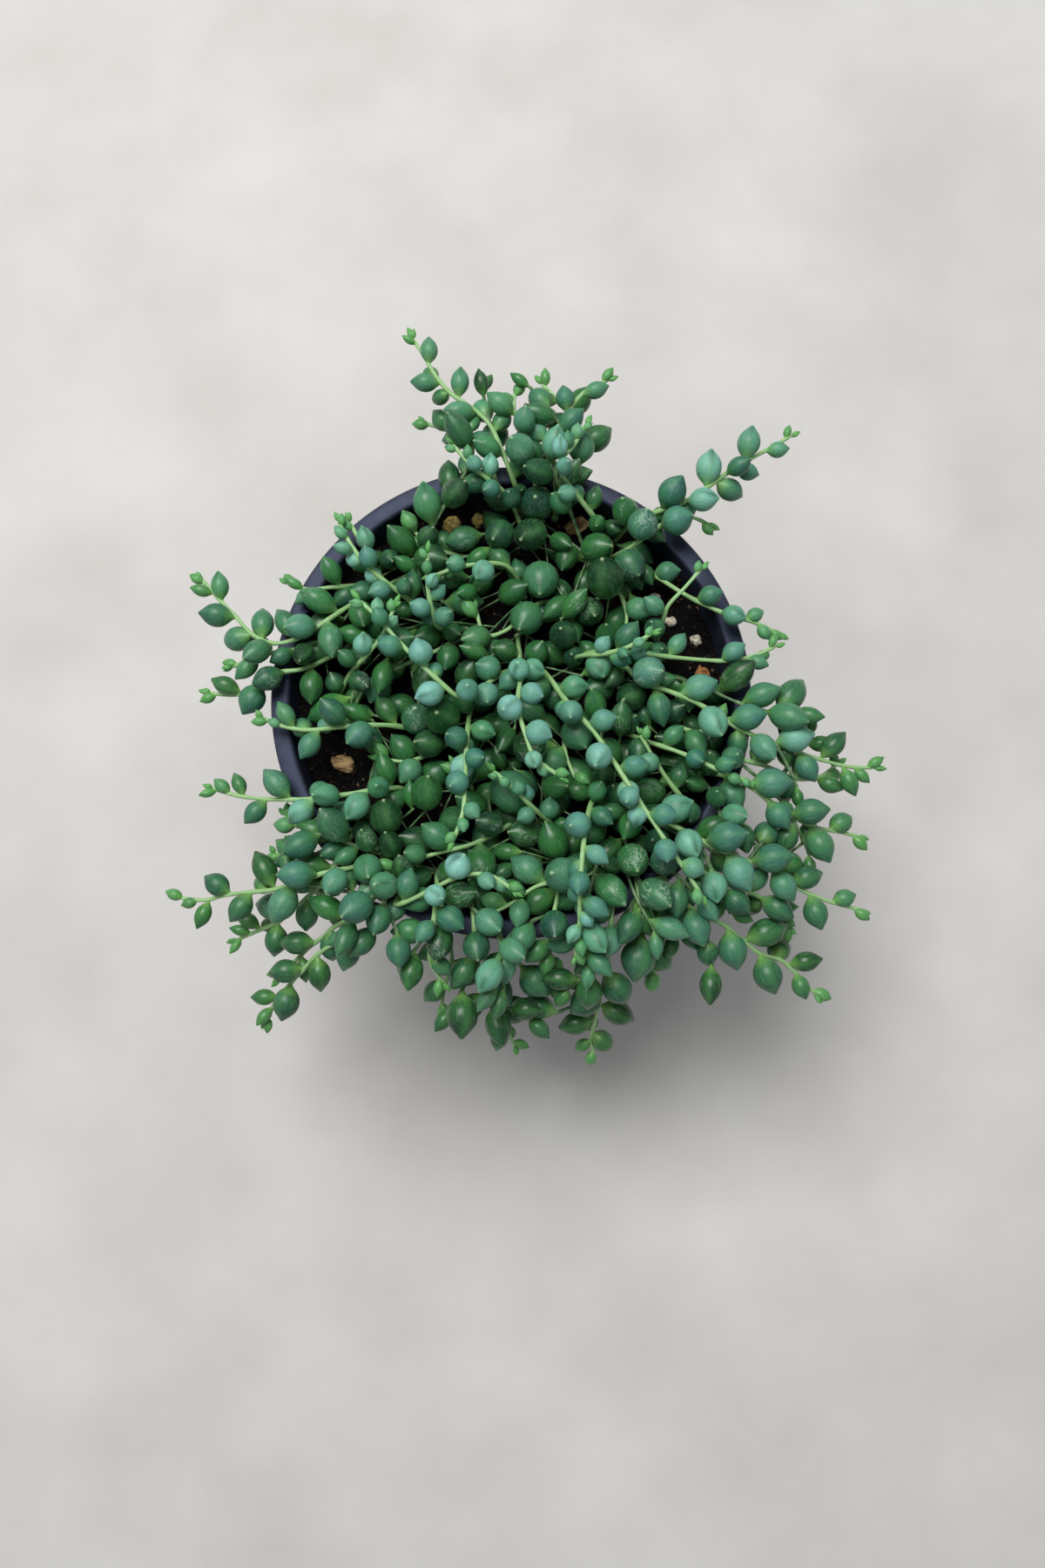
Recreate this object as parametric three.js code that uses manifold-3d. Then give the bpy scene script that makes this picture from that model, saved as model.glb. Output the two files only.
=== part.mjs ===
// A trailing string of pearls in a round nursery pot, seen in use on a flat surface.
// Millimetres, +Z up. The origin is on the ground under the middle of the pot, and +Y is the far side.
// Every plant is one grown body: a root crown in a hole in the soil, thin stems that trail from it,
// and bead-like leaves with a point, set along each stem by one rule.
import * as THREE from 'three';
import { mergeVertices } from 'three/addons/utils/BufferGeometryUtils.js';
import Module from 'manifold-3d';

const wasm = await Module();
wasm.setup();

// Pot: a thin moulded wall whose top is folded out into a flat band and down into a skirt.
const POT_HEIGHT = 115;
const RIM_RADIUS = 75;
const RIM_BAND = 6;
const SKIRT_HEIGHT = 12;
const WALL = 1.6;
const BASE_RADIUS = 52;
const FLOOR_THICKNESS = 2;
const DRAIN_COUNT = 6;
const DRAIN_RADIUS = 5;
const DRAIN_CIRCLE = 36;
const ROUND_SIDES = 32;

// Soil: filled to a little under the rim, with a softly uneven top.
const SOIL_TOP = 106;
const SOIL_SWELL = 0.6;
const GAP = 0.3;

// Plants: the crown stands in the soil and the stems start inside its top.
const CROWN_RADIUS = 1.5;
const CROWN_DEPTH = 5.5;
const CROWN_RISE = 2.4;
const STEM_RADIUS = 1.1;
const STEM_SIDES = 3;
const KNOT_SPACING = 8.5;
const STEM_CLEAR = 3.1;
const LIFT = 0.4;

// Leaves: one place every few millimetres of stem. Every second place is filled here. The short young
// ones at the tips have fewer sides.
const LEAF_PITCH = 8;
const LEAF_SIDES = 5;
const BUD_SIDES = 4;
const BUD_LENGTH = 7;
const LEAF_CLEAR = 0.35;
const LEAN = 0.7;
const LEAF_ROLL = 1.25;
const SEED = 41;

// Rooted plants. Each has the place of its crown and its stems. A stem has the length of its full-grown
// leaves, their width as a share of it, and the points it runs through, with heights over the rim.
const PLANTS = {
  far_a: {
    crown: [4, 62],
    stems: [
      [12, 0.62, [0, 70, 5], [-8, 88, 6], [-16, 94, 5], [-23, 102, 3], [-28, 111, 1], [-32, 118, 0]],
      [13.5, 0.68, [-4, 66, 4], [-7, 78, 2], [-12, 86, -3], [-20, 90, -8], [-29, 95, -12]],
    ],
  },
  far_b: {
    crown: [10, 59],
    stems: [[14.5, 0.72, [7, 69, 5], [4, 80, 8], [1, 90, 6], [1, 99, 2]]],
  },
  far_c: {
    crown: [14, 61],
    stems: [
      [12, 0.62, [14, 69, 5], [13, 79, 7], [17, 88, 6], [22, 97, 4], [31, 103, 2]],
      [13.5, 0.7, [19, 66, 4], [22, 79, 1], [19, 93, -5], [14, 103, -9], [10, 108, -11]],
    ],
  },
  far_d: {
    crown: [29, 58],
    stems: [[9.5, 0.72, [27, 56, 2], [17, 65, 12], [14, 68, 15], [18, 73, 15], [23, 83, 13]]],
  },
  far_e: {
    crown: [5, 52],
    stems: [[9.5, 0.74, [-1, 63, 5], [-8, 66, 12], [-13, 70, 14], [-18, 76, 14]]],
  },
  right_a: {
    crown: [33, 52],
    stems: [[12.5, 0.64, [38, 55, 2], [46, 57, 8], [55, 60, 9], [68, 70, 7], [77, 76, 5], [89, 84, 2]]],
  },
  right_b: {
    crown: [25, 45],
    stems: [
      [13.5, 0.74, [31, 45, -2], [37, 46, 5], [46, 52, 8], [54, 56, 6], [62, 55, 2]],
      [10, 0.7, [35, 44, -4], [43, 40, 0], [54, 31, 5], [65, 25, 6], [74, 23, 4], [83, 20, 1]],
    ],
  },
  right_c: {
    crown: [43, 11],
    stems: [[10, 0.7, [46, 19, 2], [48, 26, 10], [52, 30, 12], [58, 37, 12]]],
  },
  right_d: {
    crown: [19, 11],
    stems: [
      [11, 0.66, [22, 13, 0], [30, 12, 8], [42, 11, 9], [56, 10, 7], [70, 10, 6], [82, 15, 3]],
      [9.5, 0.7, [20, 11, 6], [30, 10, 15], [37, 12, 18], [42, 15, 19]],
    ],
  },
  right_e: {
    crown: [29, 19],
    stems: [
      [13, 0.66, [34, 10, 3], [41, 2, 9], [54, -3, 10], [69, -12, 9], [83, -17, 6], [94, -20, 2],
        [105, -22, -2], [113, -22, -4]],
    ],
  },
  right_f: {
    crown: [31, -33],
    stems: [
      [13, 0.68, [39, -36, 4], [46, -40, 9], [57, -46, 10], [68, -51, 8], [77, -53, 5], [84, -58, 1],
        [96, -63, -3], [108, -66, -7]],
    ],
  },
  right_g: {
    crown: [59, -23],
    stems: [
      [14, 0.68, [70, -28, 5], [80, -35, 6], [90, -40, 1], [101, -42, -4], [108, -43, -7]],
      [13.5, 0.7, [68, -21, 5], [79, -23, 4], [88, -26, -1], [98, -24, -6], [103, -20, -9]],
    ],
  },
  near_a: {
    crown: [46, -45],
    stems: [
      [14.5, 0.66, [49, -48, 3], [57, -54, 4], [65, -59, 4], [74, -61, 0], [81, -66, -8], [87, -71, -12]],
      [15, 0.64, [45, -50, 3], [47, -59, 4], [56, -67, 5], [65, -71, 0], [76, -79, -7], [85, -82, -12], [96, -92, -18]],
    ],
  },
  near_b: {
    crown: [30, -26],
    stems: [[10.5, 0.72, [24, -35, 8], [21, -49, 20], [20, -63, 20], [20, -72, 16], [19, -80, 12]]],
  },
  near_c: {
    crown: [32, -56],
    stems: [[14, 0.68, [31, -60, 3], [30, -70, 5], [29, -83, -2], [27, -99, -22], [26, -106, -32], [27, -113, -38]]],
  },
  near_d: {
    crown: [16, -51],
    stems: [[15, 0.7, [14, -62, 5], [12, -73, 2], [12, -81, -8]]],
  },
  near_e: {
    crown: [-3, -55],
    stems: [[14.5, 0.7, [-4, -70, 4], [0, -80, -3], [8, -86, -10], [18, -89, -14]]],
  },
  near_f: {
    crown: [-13, -55],
    stems: [[15, 0.66, [-11, -71, 4], [-10, -83, -4], [-7, -94, -14], [-3, -101, -22], [1, -109, -30]]],
  },
  near_g: {
    crown: [-23, -54],
    stems: [
      [12, 0.7, [-22, -64, 9], [-23, -72, 10], [-24, -82, 4], [-20, -88, 0]],
      [14.5, 0.66, [-20, -69, 3], [-18, -79, -5], [-20, -87, -10], [-22, -96, -16]],
    ],
  },
  near_h: {
    crown: [-30, -56],
    stems: [[11, 0.74, [-34, -65, 7], [-22, -60, 14], [-11, -56, 18], [-3, -58, 19], [1, -61, 19]]],
  },
  left_a: {
    crown: [-40, -50],
    stems: [
      [13, 0.64, [-38, -68, 4], [-48, -74, 2], [-57, -78, -3], [-65, -85, -10], [-74, -94, -18],
        [-78, -101, -22]],
      [14, 0.62, [-41, -64, 5], [-50, -69, 2], [-59, -75, -7], [-66, -80, -13], [-73, -87, -18]],
    ],
  },
  left_b: {
    crown: [-40, -43],
    stems: [
      [13.5, 0.64, [-43, -51, 2], [-49, -54, 7], [-58, -56, 8], [-71, -60, 2], [-85, -61, -4],
        [-96, -63, -8], [-104, -62, -10]],
    ],
  },
  left_c: {
    crown: [-48, -41],
    stems: [
      [13.5, 0.62, [-49, -45, 3], [-54, -54, 3], [-60, -60, -3], [-67, -65, -8], [-72, -69, -13], [-80, -72, -18],
        [-88, -75, -22]],
      [13.5, 0.62, [-51, -43, 3], [-56, -48, 3], [-61, -50, 0], [-67, -50, -6], [-74, -48, -10]],
    ],
  },
  left_d: {
    crown: [-30, -30],
    stems: [
      [13, 0.64, [-34, -29, 2], [-44, -31, 8], [-57, -33, 8], [-70, -33, 5], [-81, -32, 2], [-92, -29, 0]],
      [14, 0.72, [-39, -35, 1], [-48, -36, 4], [-57, -38, 4], [-65, -41, 1], [-70, -37, -3]],
    ],
  },
  left_e: {
    crown: [-27, -11],
    stems: [[12.5, 0.66, [-35, -10, 3], [-49, -11, 8], [-64, -12, 7], [-76, -8, 5]]],
  },
  left_f: {
    crown: [-46, 21],
    stems: [
      [14, 0.66, [-53, 15, -2], [-64, 8, 3], [-75, 6, 2], [-83, 1, -2], [-95, 2, -5]],
      [14, 0.6, [-55, 19, -1], [-67, 14, 3], [-78, 13, 0], [-88, 10, -4]],
    ],
  },
  left_g: {
    crown: [-33, 41],
    stems: [
      [13, 0.64, [-43, 34, -2], [-54, 25, 5], [-65, 17, 6], [-77, 16, 4], [-83, 22, 2], [-91, 30, 0],
        [-98, 38, -1]],
    ],
  },
  left_h: {
    crown: [-46, 38],
    stems: [[12.5, 0.62, [-51, 35, 1], [-56, 34, 3], [-63, 33, 3], [-70, 36, 0]]],
  },
  left_i: {
    crown: [-25, 26],
    stems: [[10.5, 0.68, [-33, 30, 7], [-42, 36, 12], [-48, 43, 13], [-53, 52, 12]]],
  },
  left_j: {
    crown: [-38, 48],
    stems: [[11, 0.66, [-42, 44, 1], [-44, 43, 7], [-47, 48, 9], [-50, 53, 9]]],
  },
  crown_a: {
    crown: [4, 12],
    stems: [
      [10.5, 0.8, [10, 7, 4], [17, -4, 10], [24, -13, 15], [29, -21, 17], [33, -28, 19], [39, -38, 21],
        [46, -49, 21], [55, -62, 18]],
      [10.5, 0.76, [-3, 6, 4], [-13, -3, 14], [-18, -2, 18], [-30, 9, 19], [-37, 17, 19], [-45, 25, 19]],
    ],
  },
  crown_b: {
    crown: [-21, 23],
    stems: [[9.5, 0.72, [-23, 21, 9], [-25, 29, 15], [-25, 35, 17], [-25, 40, 18]]],
  },
  crown_c: {
    crown: [-56, -1],
    stems: [[9.5, 0.74, [-49, 7, 4], [-41, 13, 12], [-36, 20, 15], [-35, 24, 16]]],
  },
  crown_d: {
    crown: [4, 34],
    stems: [[10, 0.78, [0, 40, 3], [-8, 40, 8], [-18, 38, 9], [-24, 36, 8]]],
  },
  crown_e: {
    crown: [2, 21],
    stems: [[10, 0.82, [3, 3, 14], [2, -7, 24], [4, -16, 28], [7, -24, 29], [14, -29, 28]]],
  },
  crown_f: {
    crown: [-12, 4],
    stems: [[10, 0.82, [-13, -11, 8], [-13, -27, 22], [-13, -36, 26], [-14, -42, 27], [-16, -47, 26]]],
  },
  crown_g: {
    crown: [17, -43],
    stems: [[9, 0.8, [9, -38, 8], [3, -33, 14], [-2, -28, 16], [-5, -26, 16]]],
  },
  crown_h: {
    crown: [55, -33],
    stems: [[11, 0.76, [53, -33, 2], [46, -25, 6], [39, -14, 10]]],
  },
  crown_i: {
    crown: [31, -8],
    stems: [[10, 0.75, [40, -14, 2], [53, -20, 9], [64, -26, 10], [71, -28, 8]]],
  },
  low_a: {
    crown: [-1, 44],
    stems: [[16.5, 0.72, [-8, 46, -5], [-18, 47, -4], [-27, 50, -3], [-32, 55, -2]]],
  },
  low_b: {
    crown: [-8, 21],
    stems: [[16.5, 0.72, [-14, 20, -4], [-24, 15, -3], [-35, 10, -3], [-46, 3, -3], [-50, -6, -3]]],
  },
  low_c: {
    crown: [18, 29],
    stems: [
      [16.5, 0.72, [9, 31, -2], [1, 23, 0], [-7, 18, 1], [-11, 27, 2]],
      [15, 0.72, [26, 31, -3], [31, 36, -1], [36, 28, 0], [35, 18, 3]],
    ],
  },
  low_d: {
    crown: [31, 8],
    stems: [
      [16, 0.72, [42, -5, -3], [52, -9, 0], [59, -12, 2], [65, -9, 4]],
      [16, 0.72, [23, 3, -2], [17, -9, 1], [17, -20, 3], [20, -27, 4]],
    ],
  },
  low_e: {
    crown: [-8, -12],
    stems: [[16, 0.72, [-18, -13, -3], [-25, -18, -1], [-33, -21, 1], [-40, -20, 1]]],
  },
  low_f: {
    crown: [-24, -42],
    stems: [[16, 0.72, [-17, -37, -3], [-12, -29, -1], [-17, -22, 1]]],
  },
  low_g: {
    crown: [9, -39],
    stems: [[15.5, 0.72, [1, -39, -3], [-8, -45, 1], [-18, -48, 3], [-28, -51, 4], [-36, -55, 4]]],
  },
  low_h: {
    crown: [31, -44],
    stems: [[16, 0.72, [28, -53, -2], [19, -57, 1], [10, -58, 2], [1, -64, 3], [-7, -68, 3]]],
  },
  low_i: {
    crown: [37, -50],
    stems: [[16, 0.72, [38, -58, 2], [39, -69, 3], [42, -79, -8], [45, -86, -13]]],
  },
};

// Crumbs on the soil: place, half sizes along x, y and z, and the turn about the vertical in degrees.
const CRUMBS = {
  pumice_a: { at: [-19, 58], half: [3.6, 3.1, 2.4], turn: 20, colour: 0xc9a94f },
  pumice_b: { at: [-11, 60], half: [2.6, 2.2, 1.9], turn: 75, colour: 0xb9a27a },
  pumice_c: { at: [-50, 16], half: [3, 2.5, 2], turn: 40, colour: 0x9a7f55 },
  bark_a: { at: [21, 58], half: [4.3, 2.9, 1.7], turn: 15, colour: 0x8a6a3c },
  bark_b: { at: [-53, -20], half: [4.2, 2.9, 1.7], turn: 160, colour: 0xb98e76 },
  perlite_a: { at: [46, 34], half: [2, 1.7, 1.5], turn: 10, colour: 0xe6e4dc },
  perlite_b: { at: [51, 26], half: [1.7, 2.1, 1.5], turn: 65, colour: 0xe6e4dc },
  perlite_c: { at: [59, 20], half: [2.2, 1.9, 1.6], turn: 120, colour: 0xe6e4dc },
  coir: { at: [61, 8], half: [3.6, 2.6, 1.9], turn: 100, colour: 0x7a4526 },
};

const potPlastic = new THREE.MeshStandardMaterial({ color: 0x474b52, roughness: 0.42, metalness: 0 });
const peat = new THREE.MeshStandardMaterial({ color: 0x1f1712, roughness: 0.95, metalness: 0 });
const leafGreen = new THREE.MeshStandardMaterial({ color: 0x4f8b62, roughness: 0.45, metalness: 0 });

// One number between 0 and 1 that depends on its seed alone.
function draw(seed) {
  let t = (seed + 0x6d2b79f5) | 0;
  t = Math.imul(t ^ (t >>> 15), t | 1);
  t ^= t + Math.imul(t ^ (t >>> 7), t | 61);
  return ((t ^ (t >>> 14)) >>> 0) / 4294967296;
}

function add(a, b, scale = 1) {
  return [a[0] + b[0] * scale, a[1] + b[1] * scale, a[2] + b[2] * scale];
}

function dot(a, b) {
  return a[0] * b[0] + a[1] * b[1] + a[2] * b[2];
}

function cross(a, b) {
  return [a[1] * b[2] - a[2] * b[1], a[2] * b[0] - a[0] * b[2], a[0] * b[1] - a[1] * b[0]];
}

function unit(a) {
  const size = Math.hypot(a[0], a[1], a[2]);
  return [a[0] / size, a[1] / size, a[2] / size];
}

function distance(a, b) {
  return Math.hypot(a[0] - b[0], a[1] - b[1], a[2] - b[2]);
}

function soilHeight(x, y) {
  return SOIL_TOP + SOIL_SWELL * Math.sin(0.08 * x + 1.3) * Math.cos(0.07 * y - 0.4);
}

// The wall's outer radius at a height. The inner face is one wall thickness inside it.
function wallRadius(z) {
  const top = RIM_RADIUS - RIM_BAND + WALL;
  return BASE_RADIUS + ((top - BASE_RADIUS) * z) / POT_HEIGHT;
}

// How far a point is from the pot's wall and folded rim, measured in the plane through the pot's axis.
function potDistance(p) {
  const r = Math.hypot(p[0], p[1]);
  const inner = RIM_RADIUS - RIM_BAND;
  const dr = Math.max(inner - r, 0, r - RIM_RADIUS);
  const dz = Math.max(POT_HEIGHT - SKIRT_HEIGHT - p[2], 0, p[2] - POT_HEIGHT);
  const z = Math.min(Math.max(p[2], 0), POT_HEIGHT);
  const wall = Math.hypot(r - wallRadius(z) + WALL / 2, p[2] - z) - WALL / 2;
  return Math.min(Math.hypot(dr, dz), wall);
}

// A smooth run through the points, sampled finely, then cut into knots of even spacing.
function routeKnots(points) {
  const fine = [];
  const last = points.length - 1;
  for (let i = 0; i < last; i += 1) {
    const a = points[Math.max(i - 1, 0)];
    const b = points[i];
    const c = points[i + 1];
    const d = points[Math.min(i + 2, last)];
    for (let k = 0; k < 16; k += 1) {
      const t = k / 16;
      fine.push([0, 1, 2].map((n) => 0.5 * (2 * b[n] + (c[n] - a[n]) * t
        + (2 * a[n] - 5 * b[n] + 4 * c[n] - d[n]) * t * t
        + (3 * b[n] - a[n] - 3 * c[n] + d[n]) * t * t * t)));
    }
  }
  fine.push(points[last]);
  const count = Math.round(routeLength(fine) / KNOT_SPACING);
  return Array.from({ length: count + 1 }, (_, i) => along(fine, (routeLength(fine) * i) / count).at);
}

function routeLength(points) {
  let length = 0;
  for (let i = 1; i < points.length; i += 1) length += distance(points[i - 1], points[i]);
  return length;
}

// The point at a given distance along a run of points, and the direction there.
function along(points, reach) {
  let left = reach;
  for (let i = 1; i < points.length; i += 1) {
    const step = distance(points[i - 1], points[i]);
    if (left <= step || i === points.length - 1) {
      const share = Math.min(left / step, 1);
      const heading = unit(add(points[i], points[i - 1], -1));
      return { at: add(points[i - 1], add(points[i], points[i - 1], -1), share), heading };
    }
    left -= step;
  }
  return { at: points[0], heading: [0, 0, 1] };
}

// Four points on each straight piece of a stem, for measuring clearances.
function stemSamples(knots) {
  const samples = [];
  for (let i = 1; i < knots.length; i += 1) {
    for (let k = 0; k < 4; k += 1) {
      const at = add(knots[i - 1], add(knots[i], knots[i - 1], -1), (k + 0.5) / 4);
      samples.push({ at, knot: i });
    }
  }
  return samples;
}

function crumbBalls() {
  return Object.values(CRUMBS).map(({ at: [x, y], half }) => ({
    at: [x, y, soilHeight(x, y) + half[2] * 0.4],
    radius: Math.max(...half),
  }));
}

// Stems come up out of their crown and pass over the stems, crumbs, rim and soil that they meet.
function layStems() {
  const laid = [];
  const crumbs = crumbBalls();
  Object.entries(PLANTS).forEach(([name, plant]) => {
    const [x, y] = plant.crown;
    const start = [x, y, soilHeight(x, y) + CROWN_RISE - 0.6];
    plant.stems.forEach(([leafLength, leafShare, ...points]) => {
      const route = [start, ...points.map((p) => [p[0], p[1], p[2] + POT_HEIGHT])];
      const knots = routeKnots(route);
      const others = laid.filter((stem) => stem.name !== name).flatMap((stem) => stem.samples);
      for (let pass = 0; pass < 60; pass += 1) {
        const lift = new Set();
        stemSamples(knots).forEach(({ at, knot }) => {
          const low = knot > 1 && at[2] < soilHeight(at[0], at[1]) + STEM_RADIUS + GAP
            && Math.hypot(at[0], at[1]) < RIM_RADIUS;
          const close = others.some((other) => distance(at, other.at) < STEM_CLEAR)
            || crumbs.some((crumb) => distance(at, crumb.at) < crumb.radius + STEM_RADIUS + GAP);
          if (low || close || potDistance(at) < STEM_RADIUS + GAP + 0.2) {
            lift.add(Math.max(knot - 1, 1));
            lift.add(knot);
          }
        });
        if (lift.size === 0) break;
        lift.forEach((knot) => { knots[knot] = add(knots[knot], [0, 0, LIFT]); });
      }
      laid.push({ name, knots, samples: stemSamples(knots), leafLength, leafShare, leaves: [] });
    });
  });
  return laid;
}

// A leaf's body as four balls, enough to keep it clear of its neighbours.
function leafBalls(leaf) {
  const shares = [[0.27, 0.4], [0.48, 0.5], [0.7, 0.39], [0.9, 0.15]];
  return shares.map(([reach, half]) => ({
    at: add(leaf.base, leaf.heading, leaf.length * reach),
    radius: leaf.width * half,
  }));
}

function ballClears(ball, name, world) {
  const floor = soilHeight(ball.at[0], ball.at[1]) + ball.radius + LEAF_CLEAR;
  if (ball.at[2] < floor && Math.hypot(ball.at[0], ball.at[1]) < RIM_RADIUS) return false;
  if (potDistance(ball.at) < ball.radius + LEAF_CLEAR) return false;
  return world.every((other) => {
    const slack = other.name === name ? other.overlap : LEAF_CLEAR;
    return distance(ball.at, other.at) >= ball.radius + other.radius + slack;
  });
}

// Leaves sit in turn on both sides of the stem, lean towards its tip and get smaller near it.
// Each turns round the stem, or stays smaller, until it clears all that is there already.
function growLeaf(stem, order, place, places, world) {
  const total = routeLength(stem.knots);
  const reach = (total * (place + 0.62)) / places;
  const spot = along(stem.knots, Math.min(reach, total - 0.3));
  const up = unit(add([0, 0, 1], spot.heading, -spot.heading[2] + 1e-6));
  const side = cross(spot.heading, up);
  const chance = [0, 1, 2, 3].map((n) => draw(SEED + order * 7919 + place * 131 + n * 17));
  const youth = Math.min((total - reach) / 16, 1);
  const share = 0.38 + 0.44 * youth + 0.18 * Math.min((total - reach) / 55, 1);
  const grown = stem.leafLength * share * (0.88 + 0.24 * chance[0]);
  const first = (place % 2 ? 1 : -1) * (LEAF_ROLL + 0.8 * (chance[1] - 0.5));
  const lean = LEAN + 0.5 * (chance[2] - 0.5) + 0.4 * (1 - youth);
  const turns = [0, 0.5, -0.5, 1, -1, 1.5, -1.5, 2, -2, 2.6, -2.6];
  for (const size of [1, 0.8]) {
    for (const turn of turns) {
      const roll = first + turn * Math.sign(first);
      const out = add(add([0, 0, 0], up, Math.cos(roll)), side, Math.sin(roll));
      const heading = unit(add(add([0, 0, 0], out, Math.cos(lean)), spot.heading, Math.sin(lean)));
      const length = grown * size;
      const width = length * stem.leafShare * (0.8 + 0.2 * youth) * (0.94 + 0.12 * chance[3]);
      const leaf = { base: spot.at, heading, length, width };
      const balls = leafBalls(leaf);
      if (balls.every((ball) => ballClears(ball, stem.name, world))) return leaf;
    }
  }
  return null;
}

// Every second place is filled, at full size, and the last place of a stem always is.
function growLeaves(stems) {
  const world = [];
  stems.forEach((stem) => stem.samples.forEach(({ at }) => {
    world.push({ name: stem.name, at, radius: STEM_RADIUS, overlap: -9 });
  }));
  crumbBalls().forEach((crumb) => world.push({ ...crumb, name: '' }));
  stems.forEach((stem, order) => {
    const places = Math.round(routeLength(stem.knots) / LEAF_PITCH);
    for (let place = 0; place < places; place += 1) {
      if (place % 2 === 1 && place !== places - 1) continue;
      const leaf = growLeaf(stem, order, place, places, world);
      if (leaf === null) continue;
      stem.leaves.push(leaf);
      leafBalls(leaf).forEach((ball) => world.push({ ...ball, name: stem.name, overlap: -0.2 }));
    }
  });
}

function toSolid(geometry) {
  const bare = geometry.clone();
  bare.deleteAttribute('normal');
  bare.deleteAttribute('uv');
  const merged = mergeVertices(bare, 1e-4);
  const index = merged.getIndex().array;
  const triangles = [];
  for (let i = 0; i < index.length; i += 3) {
    const [a, b, c] = [index[i], index[i + 1], index[i + 2]];
    if (a !== b && b !== c && c !== a) triangles.push(a, b, c);
  }
  return new wasm.Manifold(new wasm.Mesh({
    numProp: 3,
    vertProperties: Float32Array.from(merged.getAttribute('position').array),
    triVerts: Uint32Array.from(triangles),
  }));
}

function toMesh(name, solid, material) {
  const { vertProperties, triVerts } = solid.getMesh();
  const geometry = new THREE.BufferGeometry();
  geometry.setAttribute('position', new THREE.BufferAttribute(Float32Array.from(vertProperties), 3));
  geometry.setIndex(new THREE.BufferAttribute(Uint32Array.from(triVerts), 1));
  geometry.computeVertexNormals();
  const mesh = new THREE.Mesh(geometry, material);
  mesh.name = name;
  return mesh;
}

// A turned body about the vertical, from a closed outline of radius and height.
function turned(outline, sides) {
  const points = outline.map(([r, z]) => new THREE.Vector2(r, z));
  return new THREE.LatheGeometry(points, sides).rotateX(Math.PI / 2);
}

// An upright prism between two heights.
function post(radius, sides, x, y, bottom, top) {
  const geometry = new THREE.CylinderGeometry(radius, radius, top - bottom, sides);
  return geometry.rotateX(Math.PI / 2).translate(x, y, (bottom + top) / 2);
}

// The pot: flat floor with a ring of drain holes, tapered wall, flat band and skirt in one moulding.
function potSolid() {
  const inner = RIM_RADIUS - RIM_BAND;
  const skirtFoot = POT_HEIGHT - SKIRT_HEIGHT;
  const innerFoot = wallRadius(FLOOR_THICKNESS) - WALL;
  const outline = [
    [0, 0], [BASE_RADIUS, 0], [wallRadius(POT_HEIGHT - WALL), POT_HEIGHT - WALL],
    [RIM_RADIUS - WALL, POT_HEIGHT - WALL], [RIM_RADIUS - WALL, skirtFoot], [RIM_RADIUS, skirtFoot],
    [RIM_RADIUS, POT_HEIGHT - 0.8], [RIM_RADIUS - 0.8, POT_HEIGHT], [inner, POT_HEIGHT],
    [innerFoot, FLOOR_THICKNESS], [0, FLOOR_THICKNESS],
  ];
  let solid = toSolid(turned(outline, ROUND_SIDES));
  for (let i = 0; i < DRAIN_COUNT; i += 1) {
    const angle = (2 * Math.PI * i) / DRAIN_COUNT;
    const x = DRAIN_CIRCLE * Math.cos(angle);
    const y = DRAIN_CIRCLE * Math.sin(angle);
    solid = solid.subtract(toSolid(post(DRAIN_RADIUS, 10, x, y, -1, FLOOR_THICKNESS + 1)));
  }
  return solid;
}

// A crumb: a rough lump with its corners drawn in or out, grown by a margin when it is a pocket.
function crumbSolid(order, crumb, margin) {
  const geometry = new THREE.IcosahedronGeometry(1, 0);
  const position = geometry.getAttribute('position');
  const corner = new THREE.Vector3();
  for (let i = 0; i < position.count; i += 1) {
    corner.fromBufferAttribute(position, i);
    const key = Math.round(corner.x * 9) * 73 + Math.round(corner.y * 9) * 179 + Math.round(corner.z * 9);
    corner.multiplyScalar(0.86 + 0.24 * draw(SEED + order * 997 + key));
    position.setXYZ(i, corner.x, corner.y, corner.z);
  }
  const [x, y] = crumb.at;
  const [a, b, c] = crumb.half.map((half) => half + margin);
  geometry.scale(a, b, c).rotateZ((crumb.turn * Math.PI) / 180);
  geometry.translate(x, y, soilHeight(x, y) + crumb.half[2] * 0.4);
  return toSolid(geometry);
}

// The soil: fills the pot clear of its wall, and has a hole for each crown and a pocket for each crumb.
function soilSolid() {
  const bottom = FLOOR_THICKNESS + GAP;
  const edge = wallRadius(SOIL_TOP) - WALL - GAP;
  const foot = wallRadius(bottom) - WALL - GAP;
  const outline = [[0, bottom], [foot, bottom], [edge, SOIL_TOP], [54, SOIL_TOP], [28, SOIL_TOP],
    [0, SOIL_TOP]];
  const body = turned(outline, ROUND_SIDES);
  const position = body.getAttribute('position');
  for (let i = 0; i < position.count; i += 1) {
    const onEdge = Math.hypot(position.getX(i), position.getY(i)) > edge - 1;
    if (position.getZ(i) > SOIL_TOP - 1 && !onEdge) {
      position.setZ(i, soilHeight(position.getX(i), position.getY(i)));
    }
  }
  let solid = toSolid(body);
  Object.values(PLANTS).forEach(({ crown: [x, y] }) => {
    const top = soilHeight(x, y);
    const hole = post((CROWN_RADIUS + GAP) * Math.SQRT2, 4, x, y, top - CROWN_DEPTH - GAP, top + 4);
    solid = solid.subtract(toSolid(hole));
  });
  Object.values(CRUMBS).forEach((crumb, order) => {
    solid = solid.subtract(crumbSolid(order, crumb, GAP + 0.1));
  });
  return solid;
}

// A stem's centre line, straight from knot to knot.
class KnotLine extends THREE.Curve {
  constructor(knots) {
    super();
    this.knots = knots.map((knot) => new THREE.Vector3(...knot));
  }

  getPoint(t, target = new THREE.Vector3()) {
    const reach = Math.min(Math.max(t, 0), 1) * (this.knots.length - 1);
    const i = Math.min(Math.floor(reach), this.knots.length - 2);
    return target.lerpVectors(this.knots[i], this.knots[i + 1], reach - i);
  }

  getUtoTmapping(u) {
    return u;
  }
}

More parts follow.
